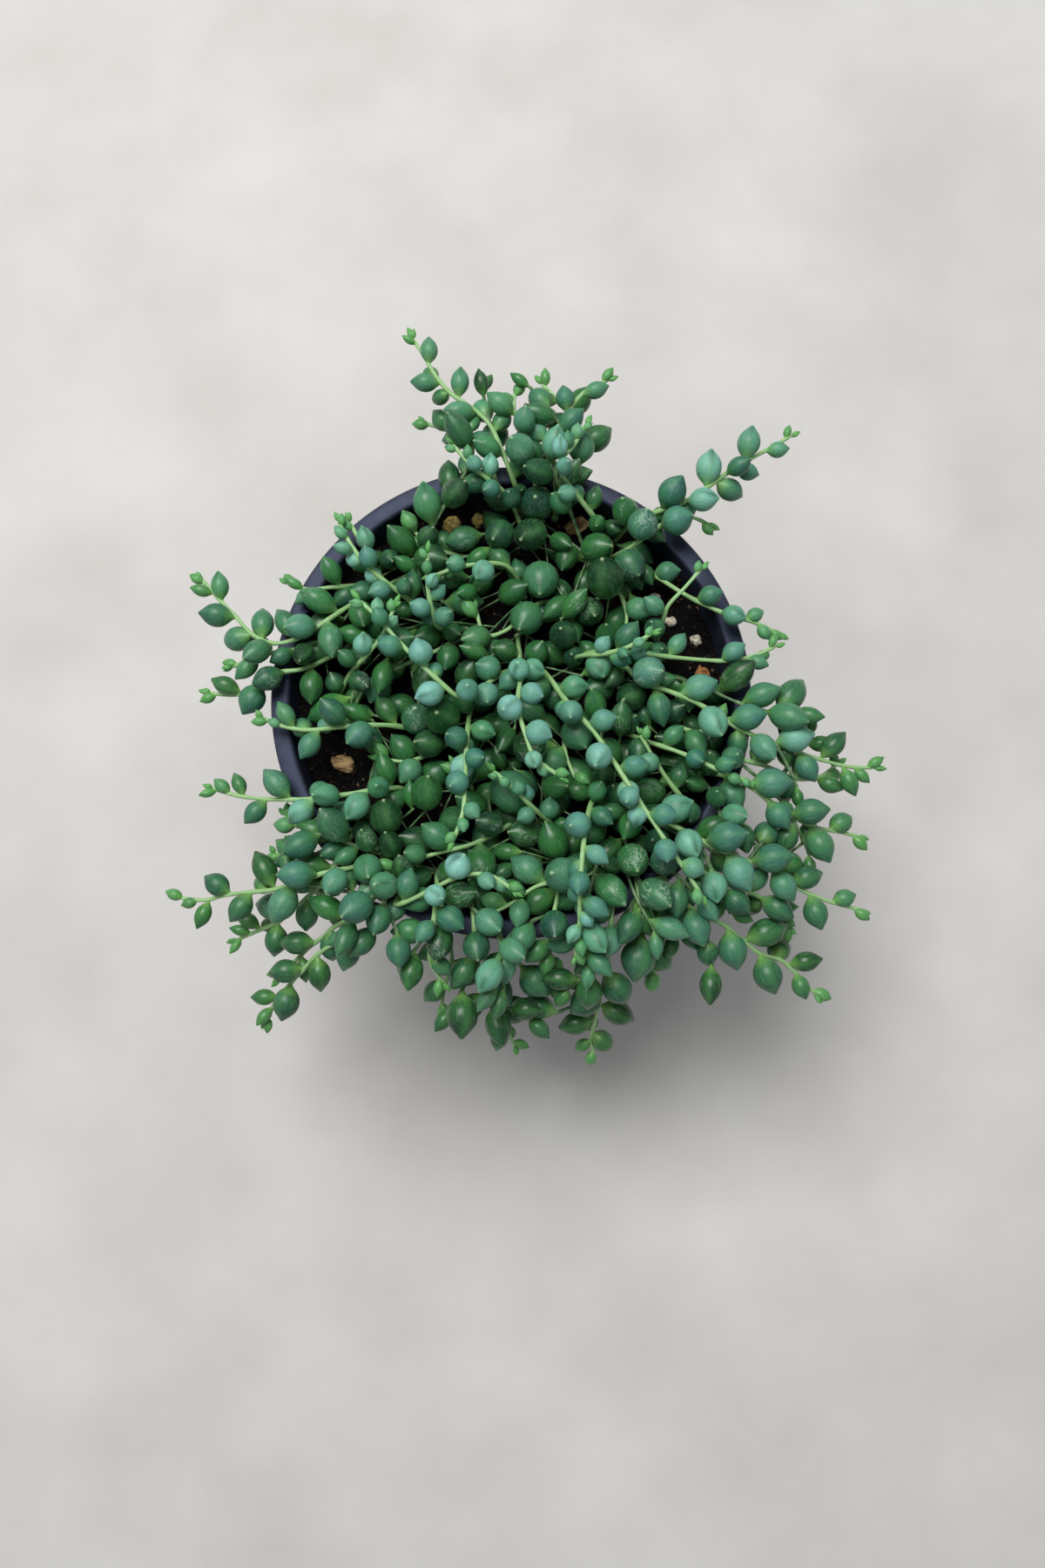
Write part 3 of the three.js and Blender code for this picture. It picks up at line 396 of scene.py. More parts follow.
# The crown's place, then for each stem the length of its grown leaves, their width as a share of it,
# and the points that it runs through in millimetres, with heights over the rim.
PLANTS = {
    "far_a": ((4, 62), [
        (12, 0.62, (0, 70, 5), (-8, 88, 6), (-16, 94, 5), (-23, 102, 3), (-28, 111, 1), (-32, 118, 0)),
        (13.5, 0.68, (-4, 66, 4), (-7, 78, 2), (-12, 86, -3), (-20, 90, -8), (-29, 95, -12)),
    ]),
    "far_b": ((10, 59), [(14.5, 0.72, (7, 69, 5), (4, 80, 8), (1, 90, 6), (1, 99, 2))]),
    "far_c": ((14, 61), [
        (12, 0.62, (14, 69, 5), (13, 79, 7), (17, 88, 6), (22, 97, 4), (31, 103, 2)),
        (13.5, 0.7, (19, 66, 4), (22, 79, 1), (19, 93, -5), (14, 103, -9), (10, 108, -11)),
    ]),
    "far_d": ((29, 58), [(9.5, 0.72, (27, 56, 2), (17, 65, 12), (14, 68, 15), (18, 73, 15), (23, 83, 13))]),
    "far_e": ((5, 52), [(9.5, 0.74, (-1, 63, 5), (-8, 66, 12), (-13, 70, 14), (-18, 76, 14))]),
    "right_a": ((33, 52), [
        (12.5, 0.64, (38, 55, 2), (46, 57, 8), (55, 60, 9), (68, 70, 7), (77, 76, 5), (89, 84, 2)),
    ]),
    "right_b": ((25, 45), [
        (13.5, 0.74, (31, 45, -2), (37, 46, 5), (46, 52, 8), (54, 56, 6), (62, 55, 2)),
        (10, 0.7, (35, 44, -4), (43, 40, 0), (54, 31, 5), (65, 25, 6), (74, 23, 4), (83, 20, 1)),
    ]),
    "right_c": ((43, 11), [(10, 0.7, (46, 19, 2), (48, 26, 10), (52, 30, 12), (58, 37, 12))]),
    "right_d": ((19, 11), [
        (11, 0.66, (22, 13, 0), (30, 12, 8), (42, 11, 9), (56, 10, 7), (70, 10, 6), (82, 15, 3)),
        (9.5, 0.7, (20, 11, 6), (30, 10, 15), (37, 12, 18), (42, 15, 19)),
    ]),
    "right_e": ((29, 19), [
        (13, 0.66, (34, 10, 3), (41, 2, 9), (54, -3, 10), (69, -12, 9), (83, -17, 6), (94, -20, 2),
         (105, -22, -2), (113, -22, -4)),
    ]),
    "right_f": ((31, -33), [
        (13, 0.68, (39, -36, 4), (46, -40, 9), (57, -46, 10), (68, -51, 8), (77, -53, 5), (84, -58, 1),
         (96, -63, -3), (108, -66, -7)),
    ]),
    "right_g": ((59, -23), [
        (14, 0.68, (70, -28, 5), (80, -35, 6), (90, -40, 1), (101, -42, -4), (108, -43, -7)),
        (13.5, 0.7, (68, -21, 5), (79, -23, 4), (88, -26, -1), (98, -24, -6), (103, -20, -9)),
    ]),
    "near_a": ((46, -45), [
        (14.5, 0.66, (49, -48, 3), (57, -54, 4), (65, -59, 4), (74, -61, 0), (81, -66, -8), (87, -71, -12)),
        (15, 0.64, (45, -50, 3), (47, -59, 4), (56, -67, 5), (65, -71, 0), (76, -79, -7), (85, -82, -12),
         (96, -92, -18)),
    ]),
    "near_b": ((30, -26), [
        (10.5, 0.72, (24, -35, 8), (21, -49, 20), (20, -63, 20), (20, -72, 16), (19, -80, 12)),
    ]),
    "near_c": ((32, -56), [
        (14, 0.68, (31, -60, 3), (30, -70, 5), (29, -83, -2), (27, -99, -22), (26, -106, -32),
         (27, -113, -38)),
    ]),
    "near_d": ((16, -51), [(15, 0.7, (14, -62, 5), (12, -73, 2), (12, -81, -8))]),
    "near_e": ((-3, -55), [(14.5, 0.7, (-4, -70, 4), (0, -80, -3), (8, -86, -10), (18, -89, -14))]),
    "near_f": ((-13, -55), [
        (15, 0.66, (-11, -71, 4), (-10, -83, -4), (-7, -94, -14), (-3, -101, -22), (1, -109, -30)),
    ]),
    "near_g": ((-23, -54), [
        (12, 0.7, (-22, -64, 9), (-23, -72, 10), (-24, -82, 4), (-20, -88, 0)),
        (14.5, 0.66, (-20, -69, 3), (-18, -79, -5), (-20, -87, -10), (-22, -96, -16)),
    ]),
    "near_h": ((-30, -56), [
        (11, 0.74, (-34, -65, 7), (-22, -60, 14), (-11, -56, 18), (-3, -58, 19), (1, -61, 19)),
    ]),
    "left_a": ((-40, -50), [
        (13, 0.64, (-38, -68, 4), (-48, -74, 2), (-57, -78, -3), (-65, -85, -10), (-74, -94, -18),
         (-78, -101, -22)),
        (14, 0.62, (-41, -64, 5), (-50, -69, 2), (-59, -75, -7), (-66, -80, -13), (-73, -87, -18)),
    ]),
    "left_b": ((-40, -43), [
        (13.5, 0.64, (-43, -51, 2), (-49, -54, 7), (-58, -56, 8), (-71, -60, 2), (-85, -61, -4),
         (-96, -63, -8), (-104, -62, -10)),
    ]),
    "left_c": ((-48, -41), [
        (13.5, 0.62, (-49, -45, 3), (-54, -54, 3), (-60, -60, -3), (-67, -65, -8), (-72, -69, -13),
         (-80, -72, -18), (-88, -75, -22)),
        (13.5, 0.62, (-51, -43, 3), (-56, -48, 3), (-61, -50, 0), (-67, -50, -6), (-74, -48, -10)),
    ]),
    "left_d": ((-30, -30), [
        (13, 0.64, (-34, -29, 2), (-44, -31, 8), (-57, -33, 8), (-70, -33, 5), (-81, -32, 2),
         (-92, -29, 0)),
        (14, 0.72, (-39, -35, 1), (-48, -36, 4), (-57, -38, 4), (-65, -41, 1), (-70, -37, -3)),
    ]),
    "left_e": ((-27, -11), [(12.5, 0.66, (-35, -10, 3), (-49, -11, 8), (-64, -12, 7), (-76, -8, 5))]),
    "left_f": ((-46, 21), [
        (14, 0.66, (-53, 15, -2), (-64, 8, 3), (-75, 6, 2), (-83, 1, -2), (-95, 2, -5)),
        (14, 0.6, (-55, 19, -1), (-67, 14, 3), (-78, 13, 0), (-88, 10, -4)),
    ]),
    "left_g": ((-33, 41), [
        (13, 0.64, (-43, 34, -2), (-54, 25, 5), (-65, 17, 6), (-77, 16, 4), (-83, 22, 2), (-91, 30, 0),
         (-98, 38, -1)),
    ]),
    "left_h": ((-46, 38), [(12.5, 0.62, (-51, 35, 1), (-56, 34, 3), (-63, 33, 3), (-70, 36, 0))]),
    "left_i": ((-25, 26), [(10.5, 0.68, (-33, 30, 7), (-42, 36, 12), (-48, 43, 13), (-53, 52, 12))]),
    "left_j": ((-38, 48), [(11, 0.66, (-42, 44, 1), (-44, 43, 7), (-47, 48, 9), (-50, 53, 9))]),
    "crown_a": ((4, 12), [
        (10.5, 0.8, (10, 7, 4), (17, -4, 10), (24, -13, 15), (29, -21, 17), (33, -28, 19), (39, -38, 21),
         (46, -49, 21), (55, -62, 18)),
        (10.5, 0.76, (-3, 6, 4), (-13, -3, 14), (-18, -2, 18), (-30, 9, 19), (-37, 17, 19), (-45, 25, 19)),
    ]),
    "crown_b": ((-21, 23), [(9.5, 0.72, (-23, 21, 9), (-25, 29, 15), (-25, 35, 17), (-25, 40, 18))]),
    "crown_c": ((-56, -1), [(9.5, 0.74, (-49, 7, 4), (-41, 13, 12), (-36, 20, 15), (-35, 24, 16))]),
    "crown_d": ((4, 34), [(10, 0.78, (0, 40, 3), (-8, 40, 8), (-18, 38, 9), (-24, 36, 8))]),
    "crown_e": ((2, 21), [(10, 0.82, (3, 3, 14), (2, -7, 24), (4, -16, 28), (7, -24, 29), (14, -29, 28))]),
    "crown_f": ((-12, 4), [
        (10, 0.82, (-13, -11, 8), (-13, -27, 22), (-13, -36, 26), (-14, -42, 27), (-16, -47, 26)),
    ]),
    "crown_g": ((17, -43), [(9, 0.8, (9, -38, 8), (3, -33, 14), (-2, -28, 16), (-5, -26, 16))]),
    "crown_h": ((55, -33), [(11, 0.76, (53, -33, 2), (46, -25, 6), (39, -14, 10))]),
    "crown_i": ((31, -8), [(10, 0.75, (40, -14, 2), (53, -20, 9), (64, -26, 10), (71, -28, 8))]),
    "low_a": ((-1, 44), [(16.5, 0.72, (-8, 46, -5), (-18, 47, -4), (-27, 50, -3), (-32, 55, -2))]),
    "low_b": ((-8, 21), [
        (16.5, 0.72, (-14, 20, -4), (-24, 15, -3), (-35, 10, -3), (-46, 3, -3), (-50, -6, -3)),
    ]),
    "low_c": ((18, 29), [
        (16.5, 0.72, (9, 31, -2), (1, 23, 0), (-7, 18, 1), (-11, 27, 2)),
        (15, 0.72, (26, 31, -3), (31, 36, -1), (36, 28, 0), (35, 18, 3)),
    ]),
    "low_d": ((31, 8), [
        (16, 0.72, (42, -5, -3), (52, -9, 0), (59, -12, 2), (65, -9, 4)),
        (16, 0.72, (23, 3, -2), (17, -9, 1), (17, -20, 3), (20, -27, 4)),
    ]),
    "low_e": ((-8, -12), [(16, 0.72, (-18, -13, -3), (-25, -18, -1), (-33, -21, 1), (-40, -20, 1))]),
    "low_f": ((-24, -42), [(16, 0.72, (-17, -37, -3), (-12, -29, -1), (-17, -22, 1))]),
    "low_g": ((9, -39), [
        (15.5, 0.72, (1, -39, -3), (-8, -45, 1), (-18, -48, 3), (-28, -51, 4), (-36, -55, 4)),
    ]),
    "low_h": ((31, -44), [
        (16, 0.72, (28, -53, -2), (19, -57, 1), (10, -58, 2), (1, -64, 3), (-7, -68, 3)),
    ]),
    "low_i": ((37, -50), [(16, 0.72, (38, -58, 2), (39, -69, 3), (42, -79, -8), (45, -86, -13))]),
}


def direction(a):
    return a / math.sqrt(float(a @ a))


def pot_distance(p):
    """How far points are from the wall and the folded rim."""
    r = np.hypot(p[:, 0], p[:, 1])
    dr = np.maximum(np.maximum(inner_radius - r, 0), r - RIM_RADIUS)
    dz = np.maximum(np.maximum(POT_HEIGHT - SKIRT_HEIGHT - p[:, 2], 0), p[:, 2] - POT_HEIGHT)
    z = np.clip(p[:, 2], 0, POT_HEIGHT)
    wall = np.hypot(r - wall_radius(z) + WALL / 2, p[:, 2] - z) - WALL / 2
    return np.minimum(np.hypot(dr, dz), wall)


def in_soil(points, radius, slack):
    """Which of the points inside the rim are nearer to the soil than their radius and the slack."""
    level = np.array([soil_height(x, y) for x, y, _ in points]) + radius + slack
    return (points[:, 2] < level) & (np.hypot(points[:, 0], points[:, 1]) < RIM_RADIUS)


def near_any(points, others, limit):
    if len(others) == 0:
        return np.zeros(len(points), bool)
    return (np.linalg.norm(points[:, None] - others[None], axis=2) < limit).any(axis=1)


def smooth_run(points):
    """A smooth run through the points, with RUN_STEPS steps from one to the next."""
    fine = []
    last = len(points) - 1
    for i in range(last):
        a, b, c, d = points[max(i - 1, 0)], points[i], points[i + 1], points[min(i + 2, last)]
        for k in range(RUN_STEPS):
            t = k / RUN_STEPS
            fine.append(0.5 * (2 * b + (c - a) * t + (2 * a - 5 * b + 4 * c - d) * t * t
                               + (3 * b - a - 3 * c + d) * t * t * t))
    fine.append(points[last])
    return np.array(fine)


def run_length(points):
    return float(np.linalg.norm(np.diff(points, axis=0), axis=1).sum())


def along(points, reach):
    """The place and the heading at a distance along a run, and which piece of it that is."""
    left = reach
    for i in range(1, len(points)):
        step = points[i] - points[i - 1]
        size = math.sqrt(float(step @ step))
        if left <= size or i == len(points) - 1:
            share = min(left / size, 1)
            return points[i - 1] + step * share, step / size, i - 1 + share
        left -= size


def even_knots(points, spacing):
    """Knots at even distances along the smooth run through the points."""
    fine = smooth_run(points)
    length = run_length(fine)
    count = max(math.floor(length / spacing + 0.5), 2)
    return np.array([along(fine, length * i / count)[0] for i in range(count + 1)])


def stem_samples(knots):
    shares = (np.arange(KNOT_SAMPLES) + 0.5) / KNOT_SAMPLES
    return np.array([low + (high - low) * share for low, high in zip(knots, knots[1:]) for share in shares])


def add_stem(name, knots, leaf_length, leaf_share, kind):
    stems.append({"name": name, "knots": knots, "samples": stem_samples(knots), "leaves": [],
                  "leaf_length": leaf_length, "leaf_share": leaf_share, "kind": kind})


crumb_balls = [(np.array([x, y, soil_height(x, y) + half[2] * CRUMB_RISE]), max(half))
               for (x, y), half, _, _ in CRUMBS.values()]
stems = []
for name, ((x, y), runs) in PLANTS.items():
    start = np.array([x, y, soil_height(x, y) + CROWN_RISE - STEM_SINK])
    for leaf_length, leaf_share, *points in runs:
        route = [start] + [np.array([px, py, pz + POT_HEIGHT], float) for px, py, pz in points]
        knots = even_knots(route, KNOT_SPACING)
        others = [stem["samples"] for stem in stems if stem["name"] != name]
        others = np.concatenate(others) if others else np.zeros((0, 3))
        piece_of = np.repeat(np.arange(1, len(knots)), KNOT_SAMPLES)
        for _ in range(MOST_LIFTS):
            samples = stem_samples(knots)
            low = in_soil(samples, STEM_RADIUS, GAP) & (piece_of > 1)
            close = near_any(samples, others, STEM_CLEAR)
            for centre, radius in crumb_balls:
                close |= near_any(samples, centre[None], radius + STEM_RADIUS + GAP)
            lift = piece_of[low | close | (pot_distance(samples) < STEM_RADIUS + GAP + 0.2)]
            if len(lift) == 0:
                break
            for knot in {max(i - 1, 1) for i in lift} | set(lift.tolist()):
                knots[knot, 2] += LIFT
        add_stem(name, knots, leaf_length, leaf_share, "long")

# ---- Side shoots ------------------------------------------------------------------------------------
# Short shoots grow low out of each crown and fill the pot under the long stems, and others branch off
# the stems that hang over the rim. None grows where another stem or a bare patch of soil already is.

SHOOT_CLEAR = 2.3
SHOOT_SPACING = 6
SHOOT_SINK = 0.8
# The seed of each kind's draws, how many there may be to a plant, and how often one is tried.
SIDE_SEED, SIDE_TRIES = 977, 6
RIM_SEED, RIM_SHOOTS = 8111, 5
LOW_SEED, LOW_SHOOTS = 5077, 5
SHOOT_TRIES = 40
# Plants nearer to the middle than this have no rim shoots, and low shoots end within the second.
OUTER_PLANT = 42
LOW_REACH = 65
# The length of the grown leaves and their width as a share of it.
RIM_LEAF = (15, 0.6)
LOW_LEAF = (18.5, 0.67)
# Bare patches of soil that stay open to the eye over the plant: middle and half sizes.
EYE = np.array([3.5, -76.4, 474.5])
BARE_PATCHES = [(-56, -19, 13, 9), (59, 27, 12, 24), (-17, 60, 9, 6), (20, 59, 7, 5), (2, 44, 7, 5)]


def draw(seed):
    """One number between 0 and 1 that depends on its seed alone."""
    def times(a, b):
        return (a * b) & 0xFFFFFFFF
    t = (seed + 0x6D2B79F5) & 0xFFFFFFFF
    t = times(t ^ (t >> 15), t | 1)
    t ^= (t + times(t ^ (t >> 7), t | 61)) & 0xFFFFFFFF
    return (t ^ (t >> 14)) / 4294967296


def draws(seed, step, count=4):
    return [draw(seed + k * step) for k in range(count)]


def heading_at(angle, rise=0.0):
    return np.array([math.cos(angle), math.sin(angle), rise])


def upwards(rise):
    return np.array([0, 0, rise])


def within(value, low, high):
    return min(max(value, low), high)


def on_bare_patch(at):
    seen = EYE + (at - EYE) * (EYE[2] - SOIL_TOP) / (EYE[2] - at[2])
    return any(((seen[0] - x) / a) ** 2 + ((seen[1] - y) / b) ** 2 < 1 for x, y, a, b in BARE_PATCHES)


def on_thick_side(at):
    """Whether a place outside the rim is in front, front right or in the tuft at the back."""
    around = math.degrees(math.atan2(at[1], at[0]))
    most = 85 + 22 * within((around + 150) / 80, 0, 1)
    front = -150 < around < -4 and math.hypot(at[0], at[1]) < most
    return front or (76 < around < 101 and at[1] < 108)


def add_shoot(name, points, leaf_length, leaf_share, kind):
    """Adds a shoot if it keeps clear of the pot, the soil, the crumbs and the other stems."""
    knots = even_knots(points, SHOOT_SPACING)
    samples = stem_samples(knots)
    free = samples[np.linalg.norm(samples - knots[0], axis=1) > 4]
    blocked = in_soil(free, STEM_RADIUS, 0) | (pot_distance(free) < STEM_RADIUS + 0.3)
    for centre, radius in crumb_balls:
        blocked |= near_any(free, centre[None], radius + STEM_RADIUS)
    blocked |= near_any(free, np.concatenate([stem["samples"] for stem in stems]), SHOOT_CLEAR)
    if not blocked.any():
        add_stem(name, knots, leaf_length, leaf_share, kind)
    return not blocked.any()


# Side shoots: at every second knot over and outside the rim of the stems that end well past it.
for order, stem in enumerate(list(stems)):
    tip = math.hypot(*stem["knots"][-1][:2])
    for i in range(2, len(stem["knots"]) - 2, 2):
        at = stem["knots"][i]
        if math.hypot(at[0], at[1]) < RIM_RADIUS - 4 or tip < RIM_RADIUS + 10:
            continue
        for n in range(SIDE_TRIES):
            chance = draws(SIDE_SEED + order * 613 + i * 37 + n * 7, 3)
            forward = stem["knots"][i + 1] - at
            splay = (1 if n % 2 else -1) * (0.55 + 0.6 * chance[0])
            size = 14 + 12 * chance[1]
            away = heading_at(math.atan2(forward[1], forward[0]) + splay, -0.1 - 0.45 * chance[2])
            end = at + away * size
            if math.hypot(end[0], end[1]) > tip - 4 or end[2] < 20 or not on_thick_side(end):
                continue
            middle = at + away * size * 0.5 + upwards(1.5)
            if add_shoot(stem["name"], [at, middle, end], stem["leaf_length"], stem["leaf_share"], "side"):
                break
# Rim shoots lean out over the rim, and low shoots spread over the soil all round the crown.
for order, (name, ((x, y), _)) in enumerate(PLANTS.items()):
    root = np.array([x, y, soil_height(x, y) + CROWN_RISE - SHOOT_SINK])
    grown = 0
    for n in range(SHOOT_TRIES):
        if grown == RIM_SHOOTS or math.hypot(x, y) < OUTER_PLANT:
            break
        chance = draws(RIM_SEED + order * 353 + n * 31, 11)
        away = heading_at(math.atan2(y, x) + 1.1 * (chance[0] - 0.5))
        over = away * (RIM_RADIUS - 1 + 3 * chance[1]) + upwards(POT_HEIGHT + 3 + 7 * chance[2])
        middle = (root + over) / 2 + upwards(1 + 2 * chance[2])
        end = over + away * (7 + 9 * chance[3]) + upwards(-1 - 6 * chance[1])
        if on_thick_side(end) and add_shoot(name, [root, middle, over, end], *RIM_LEAF, "side"):
            grown += 1
    grown = 0
    for n in range(SHOOT_TRIES):
        if grown == LOW_SHOOTS:
            break
        chance = draws(LOW_SEED + order * 411 + n * 29, 5)
        size = 13 + 17 * chance[1]
        away = heading_at(2.4 * (order + n) + chance[0])
        middle = root + away * size * 0.45 + upwards(2.2 + 4 * chance[2])
        end = root + away * size + upwards(2.5 + 9 * chance[2])
        if math.hypot(end[0], end[1]) > LOW_REACH or on_bare_patch(end) or on_bare_patch(middle):
            continue
        if add_shoot(name, [root, middle, end], *LOW_LEAF, "low"):
            grown += 1

# ---- Places of the leaves ---------------------------------------------------------------------------
# The leaves sit in turn on both sides of a stem, lean towards its tip and get smaller and slimmer near
# it. Each turns round its stem, or stays smaller, until it has room among those already there.

SEED = 41
LEAF_PITCH = {"long": 8, "side": 3.9, "low": 3.9}
# How far a leaf stays from others: a main leaf keeps clear of them, and a later one may press in.
LEAF_CLEAR = 0.35
PRESSED_IN = -1.1
OWN_LEAF_SLACK = -0.2
OWN_STEM_SLACK = -9
MAIN_SIZES = (1, 0.8)
LATER_SIZES = (1, 0.87, 0.74)
# How far leaves lean to the tip and roll round the stem from upright, and the further turns tried.
# Later leaves stand more upright high over the rim and lie flatter low down.
LEAN = 0.7
LEAF_ROLL = {"long": 1.25, "side": 1.25, "low": 1.1}
HIGH_ROLL = 0.45
LOW_FLATTEN = 0.55
HIGH_OVER_RIM = 7
EXTRA_TURNS = (0, 0.5, -0.5, 1, -1, 1.5, -1.5, 2, -2, 2.6, -2.6)
# Within this distance of its stem's tip a leaf isn't full-grown.
YOUNG_RUN = {"long": 16, "side": 9, "low": 5}
# A leaf's room is four balls: their place along it and their radius as a share of its width.
BALL_REACH = np.array([0.27, 0.48, 0.7, 0.9])
BALL_HALF = np.array([0.4, 0.5, 0.39, 0.15])
MOST_BALLS = 12000
plant_number = {name: k for k, name in enumerate(PLANTS)}
ball_at = np.zeros((MOST_BALLS, 3))
ball_radius = np.zeros(MOST_BALLS)
ball_plant = np.full(MOST_BALLS, -1)
ball_slack = np.zeros(MOST_BALLS)
ball_count = 0


def place_balls(at, radius, plant, slack):
    """Takes up room, with the slack that its own plant's leaves have to it."""
    global ball_count
    more = slice(ball_count, ball_count + len(at))
    ball_at[more], ball_radius[more], ball_plant[more], ball_slack[more] = at, radius, plant, slack
    ball_count += len(at)


def leaf_clears(at, radius, plant, slack):
    if in_soil(at, radius, slack).any() or (pot_distance(at) < radius + max(slack, 0)).any():
        return False
    gaps = np.where(ball_plant[:ball_count] == plant, ball_slack[:ball_count], slack)
    apart = np.linalg.norm(at[:, None] - ball_at[None, :ball_count], axis=2)
    return bool((apart >= radius[:, None] + ball_radius[None, :ball_count] + gaps).all())


def grow_leaf(stem, order, place, places, slack, sizes):
    """The first turn and size at which the leaf of this place has room, or nothing."""
    kind, later = stem["kind"], slack < 0
    plant = plant_number[stem["name"]]
    total = run_length(stem["knots"])
    reach = total * (place + 0.62) / places
    base, heading, on = along(stem["knots"], min(reach, total - 0.3))
    up = direction(np.array([0, 0, 1.0]) - heading * (heading[2] - 1e-6))
    side = np.cross(heading, up)
    chance = draws(SEED + order * 7919 + math.floor(place * 131), 17)
    # Near the tip of its stem a leaf is younger, so it is shorter, slimmer and leans forward more.
    youth = min((total - reach) / YOUNG_RUN[kind], 1)
    share = 0.38 + 0.44 * youth + 0.18 * min((total - reach) / 55, 1)
    if kind != "long":
        share = 0.55 + 0.45 * youth
    grown = stem["leaf_length"] * share * (0.88 + 0.24 * chance[0])
    high = base[2] > POT_HEIGHT + HIGH_OVER_RIM
    most_roll = HIGH_ROLL if kind == "long" and later and high else LEAF_ROLL[kind]
    first = (1 if math.floor(place) % 2 else -1) * (most_roll + 0.8 * (chance[1] - 0.5))
    lean = LEAN + 0.5 * (chance[2] - 0.5) + 0.4 * (1 - youth)
    for size in sizes:
        for turn in EXTRA_TURNS:
            roll = first + turn * math.copysign(1, first)
            out = up * math.cos(roll) + side * math.sin(roll)
            aim = out * math.cos(lean) + heading * math.sin(lean)
            if later and not high:
                aim = aim * np.array([1, 1, LOW_FLATTEN])
            aim = direction(aim)
            length = grown * size
            width = length * stem["leaf_share"] * (0.8 + 0.2 * youth) * (0.83 + 0.22 * chance[2])
            at = base + aim * length * BALL_REACH[:, None]
            if later and (on_bare_patch(at[1]) or on_bare_patch(at[3])):
                continue
            if leaf_clears(at, width * BALL_HALF, plant, slack):
                place_balls(at, width * BALL_HALF, plant, OWN_LEAF_SLACK)
                return {"on": on, "aim": aim, "length": length, "width": width, "chance": chance,
                        "youth": 1 - min((total - reach) / (1.8 * YOUNG_RUN[kind]), 1)}
    return None


for stem in stems:
    place_balls(stem["samples"], STEM_RADIUS, plant_number[stem["name"]], OWN_STEM_SLACK)
for centre, radius in crumb_balls:
    place_balls(centre[None], radius, -1, 0)
for turn_of in ("every second", "between", "shoots", "spare"):
    slack, sizes = (LEAF_CLEAR, MAIN_SIZES) if turn_of == "every second" else (PRESSED_IN, LATER_SIZES)
    for order, stem in enumerate(stems):
        if (stem["kind"] == "long") == (turn_of == "shoots"):
            continue
        places = max(math.floor(run_length(stem["knots"]) / LEAF_PITCH[stem["kind"]] + 0.5), 1)
        second = [place for place in range(places) if place % 2 == 0 or place == places - 1]
        chosen = {"every second": second, "between": [k for k in range(places) if k not in second],
                  "shoots": range(places), "spare": [k + 0.5 for k in range(places - 1)]}[turn_of]
        leaves = [grow_leaf(stem, order, place, places, slack, sizes) for place in chosen]
        stem["leaves"] += [leaf for leaf in leaves if leaf is not None]

# ---- Plants -----------------------------------------------------------------------------------------
# Each plant is one grown piece: smooth pale stems and plump leaves, each drawn out to a fine point and
# joined to the stem by a short narrow neck, with small buds closed round the growing tip.

LEAF_SIDES = 8
STEM_SIDES = 8
# The scene's leaves are a little larger than the source's, which have only five sides.
LEAF_SIZE = 1.03
# How far along the leaf each ring stands and its radius, both as a share of the leaf's size.
LEAF_RINGS = [(0, 0), (0.05, 0.06), (0.12, 0.13), (0.21, 0.33), (0.34, 0.5), (0.51, 0.55),
              (0.67, 0.49), (0.8, 0.32), (0.905, 0.115), (1, 0)]
leaf_shape = turned("leaf_shape", [(half / MM, reach / MM) for reach, half in LEAF_RINGS], LEAF_SIDES)
leaf_shape.data.shade_smooth()
in_leaf = leaf_shape.data.attributes.new("in_leaf", "FLOAT_VECTOR", "POINT")
in_leaf.data.foreach_set("vector", [c for vertex in leaf_shape.data.vertices for c in vertex.co])

plant_tree, given = start_nodes("grown_plant", (
    ("Leaf", "Object"), ("Stem sides", "Int"), ("Stem thickness", "Float"), ("Leaf size", "Float"),
    ("Leaf skin", "Material"), ("Stem skin", "Material")))
kept = {key: add_node(plant_tree, "GeometryNodeInputNamedAttribute", {"Name": key},
                      data_type=kind).outputs[0]
        for key, kind in (("leaf_length", "FLOAT"), ("leaf_width", "FLOAT"), ("thickness", "FLOAT"),
                          ("aim", "FLOAT_VECTOR"), ("face", "FLOAT_VECTOR"))}
is_leaf = add_node(plant_tree, "FunctionNodeCompare", {0: kept["leaf_length"], 1: 0.0},
                   operation="GREATER_THAN").outputs[0]
thick, wide, long = (add_node(plant_tree, "ShaderNodeMath", {0: kept[key], 1: given[by]},
                              operation="MULTIPLY").outputs[0]
                     for key, by in (("thickness", "Stem thickness"), ("leaf_width", "Leaf size"),
                                     ("leaf_length", "Leaf size")))
parted = add_node(plant_tree, "GeometryNodeSeparateGeometry", {
    "Geometry": given["Geometry"], "Selection": is_leaf}, domain="POINT")
lines = add_node(plant_tree, "GeometryNodeMeshToCurve", {"Mesh": parted.outputs["Inverted"]})
ring = add_node(plant_tree, "GeometryNodeCurvePrimitiveCircle", {
    "Resolution": given["Stem sides"], "Radius": 1.0})
tube = add_node(plant_tree, "GeometryNodeCurveToMesh", {
    "Curve": lines.outputs["Curve"], "Profile Curve": ring.outputs["Curve"], "Scale": thick,
    "Fill Caps": True})
tube = add_node(plant_tree, "GeometryNodeSetShadeSmooth", {"Geometry": tube.outputs["Mesh"]})
tube = add_node(plant_tree, "GeometryNodeSetMaterial", {
    "Geometry": tube.outputs[0], "Material": given["Stem skin"]})
turned_leaf = add_node(plant_tree, "FunctionNodeAxesToRotation", {0: kept["aim"], 1: kept["face"]},
                       primary_axis="Z", secondary_axis="X")
size = add_node(plant_tree, "ShaderNodeCombineXYZ", {0: wide, 1: wide, 2: long})
leaf_source = add_node(plant_tree, "GeometryNodeObjectInfo", {"Object": given["Leaf"]})
leaves = add_node(plant_tree, "GeometryNodeInstanceOnPoints", {
    "Points": parted.outputs["Selection"], "Instance": leaf_source.outputs["Geometry"],
    "Rotation": turned_leaf.outputs[0], "Scale": size.outputs[0]})
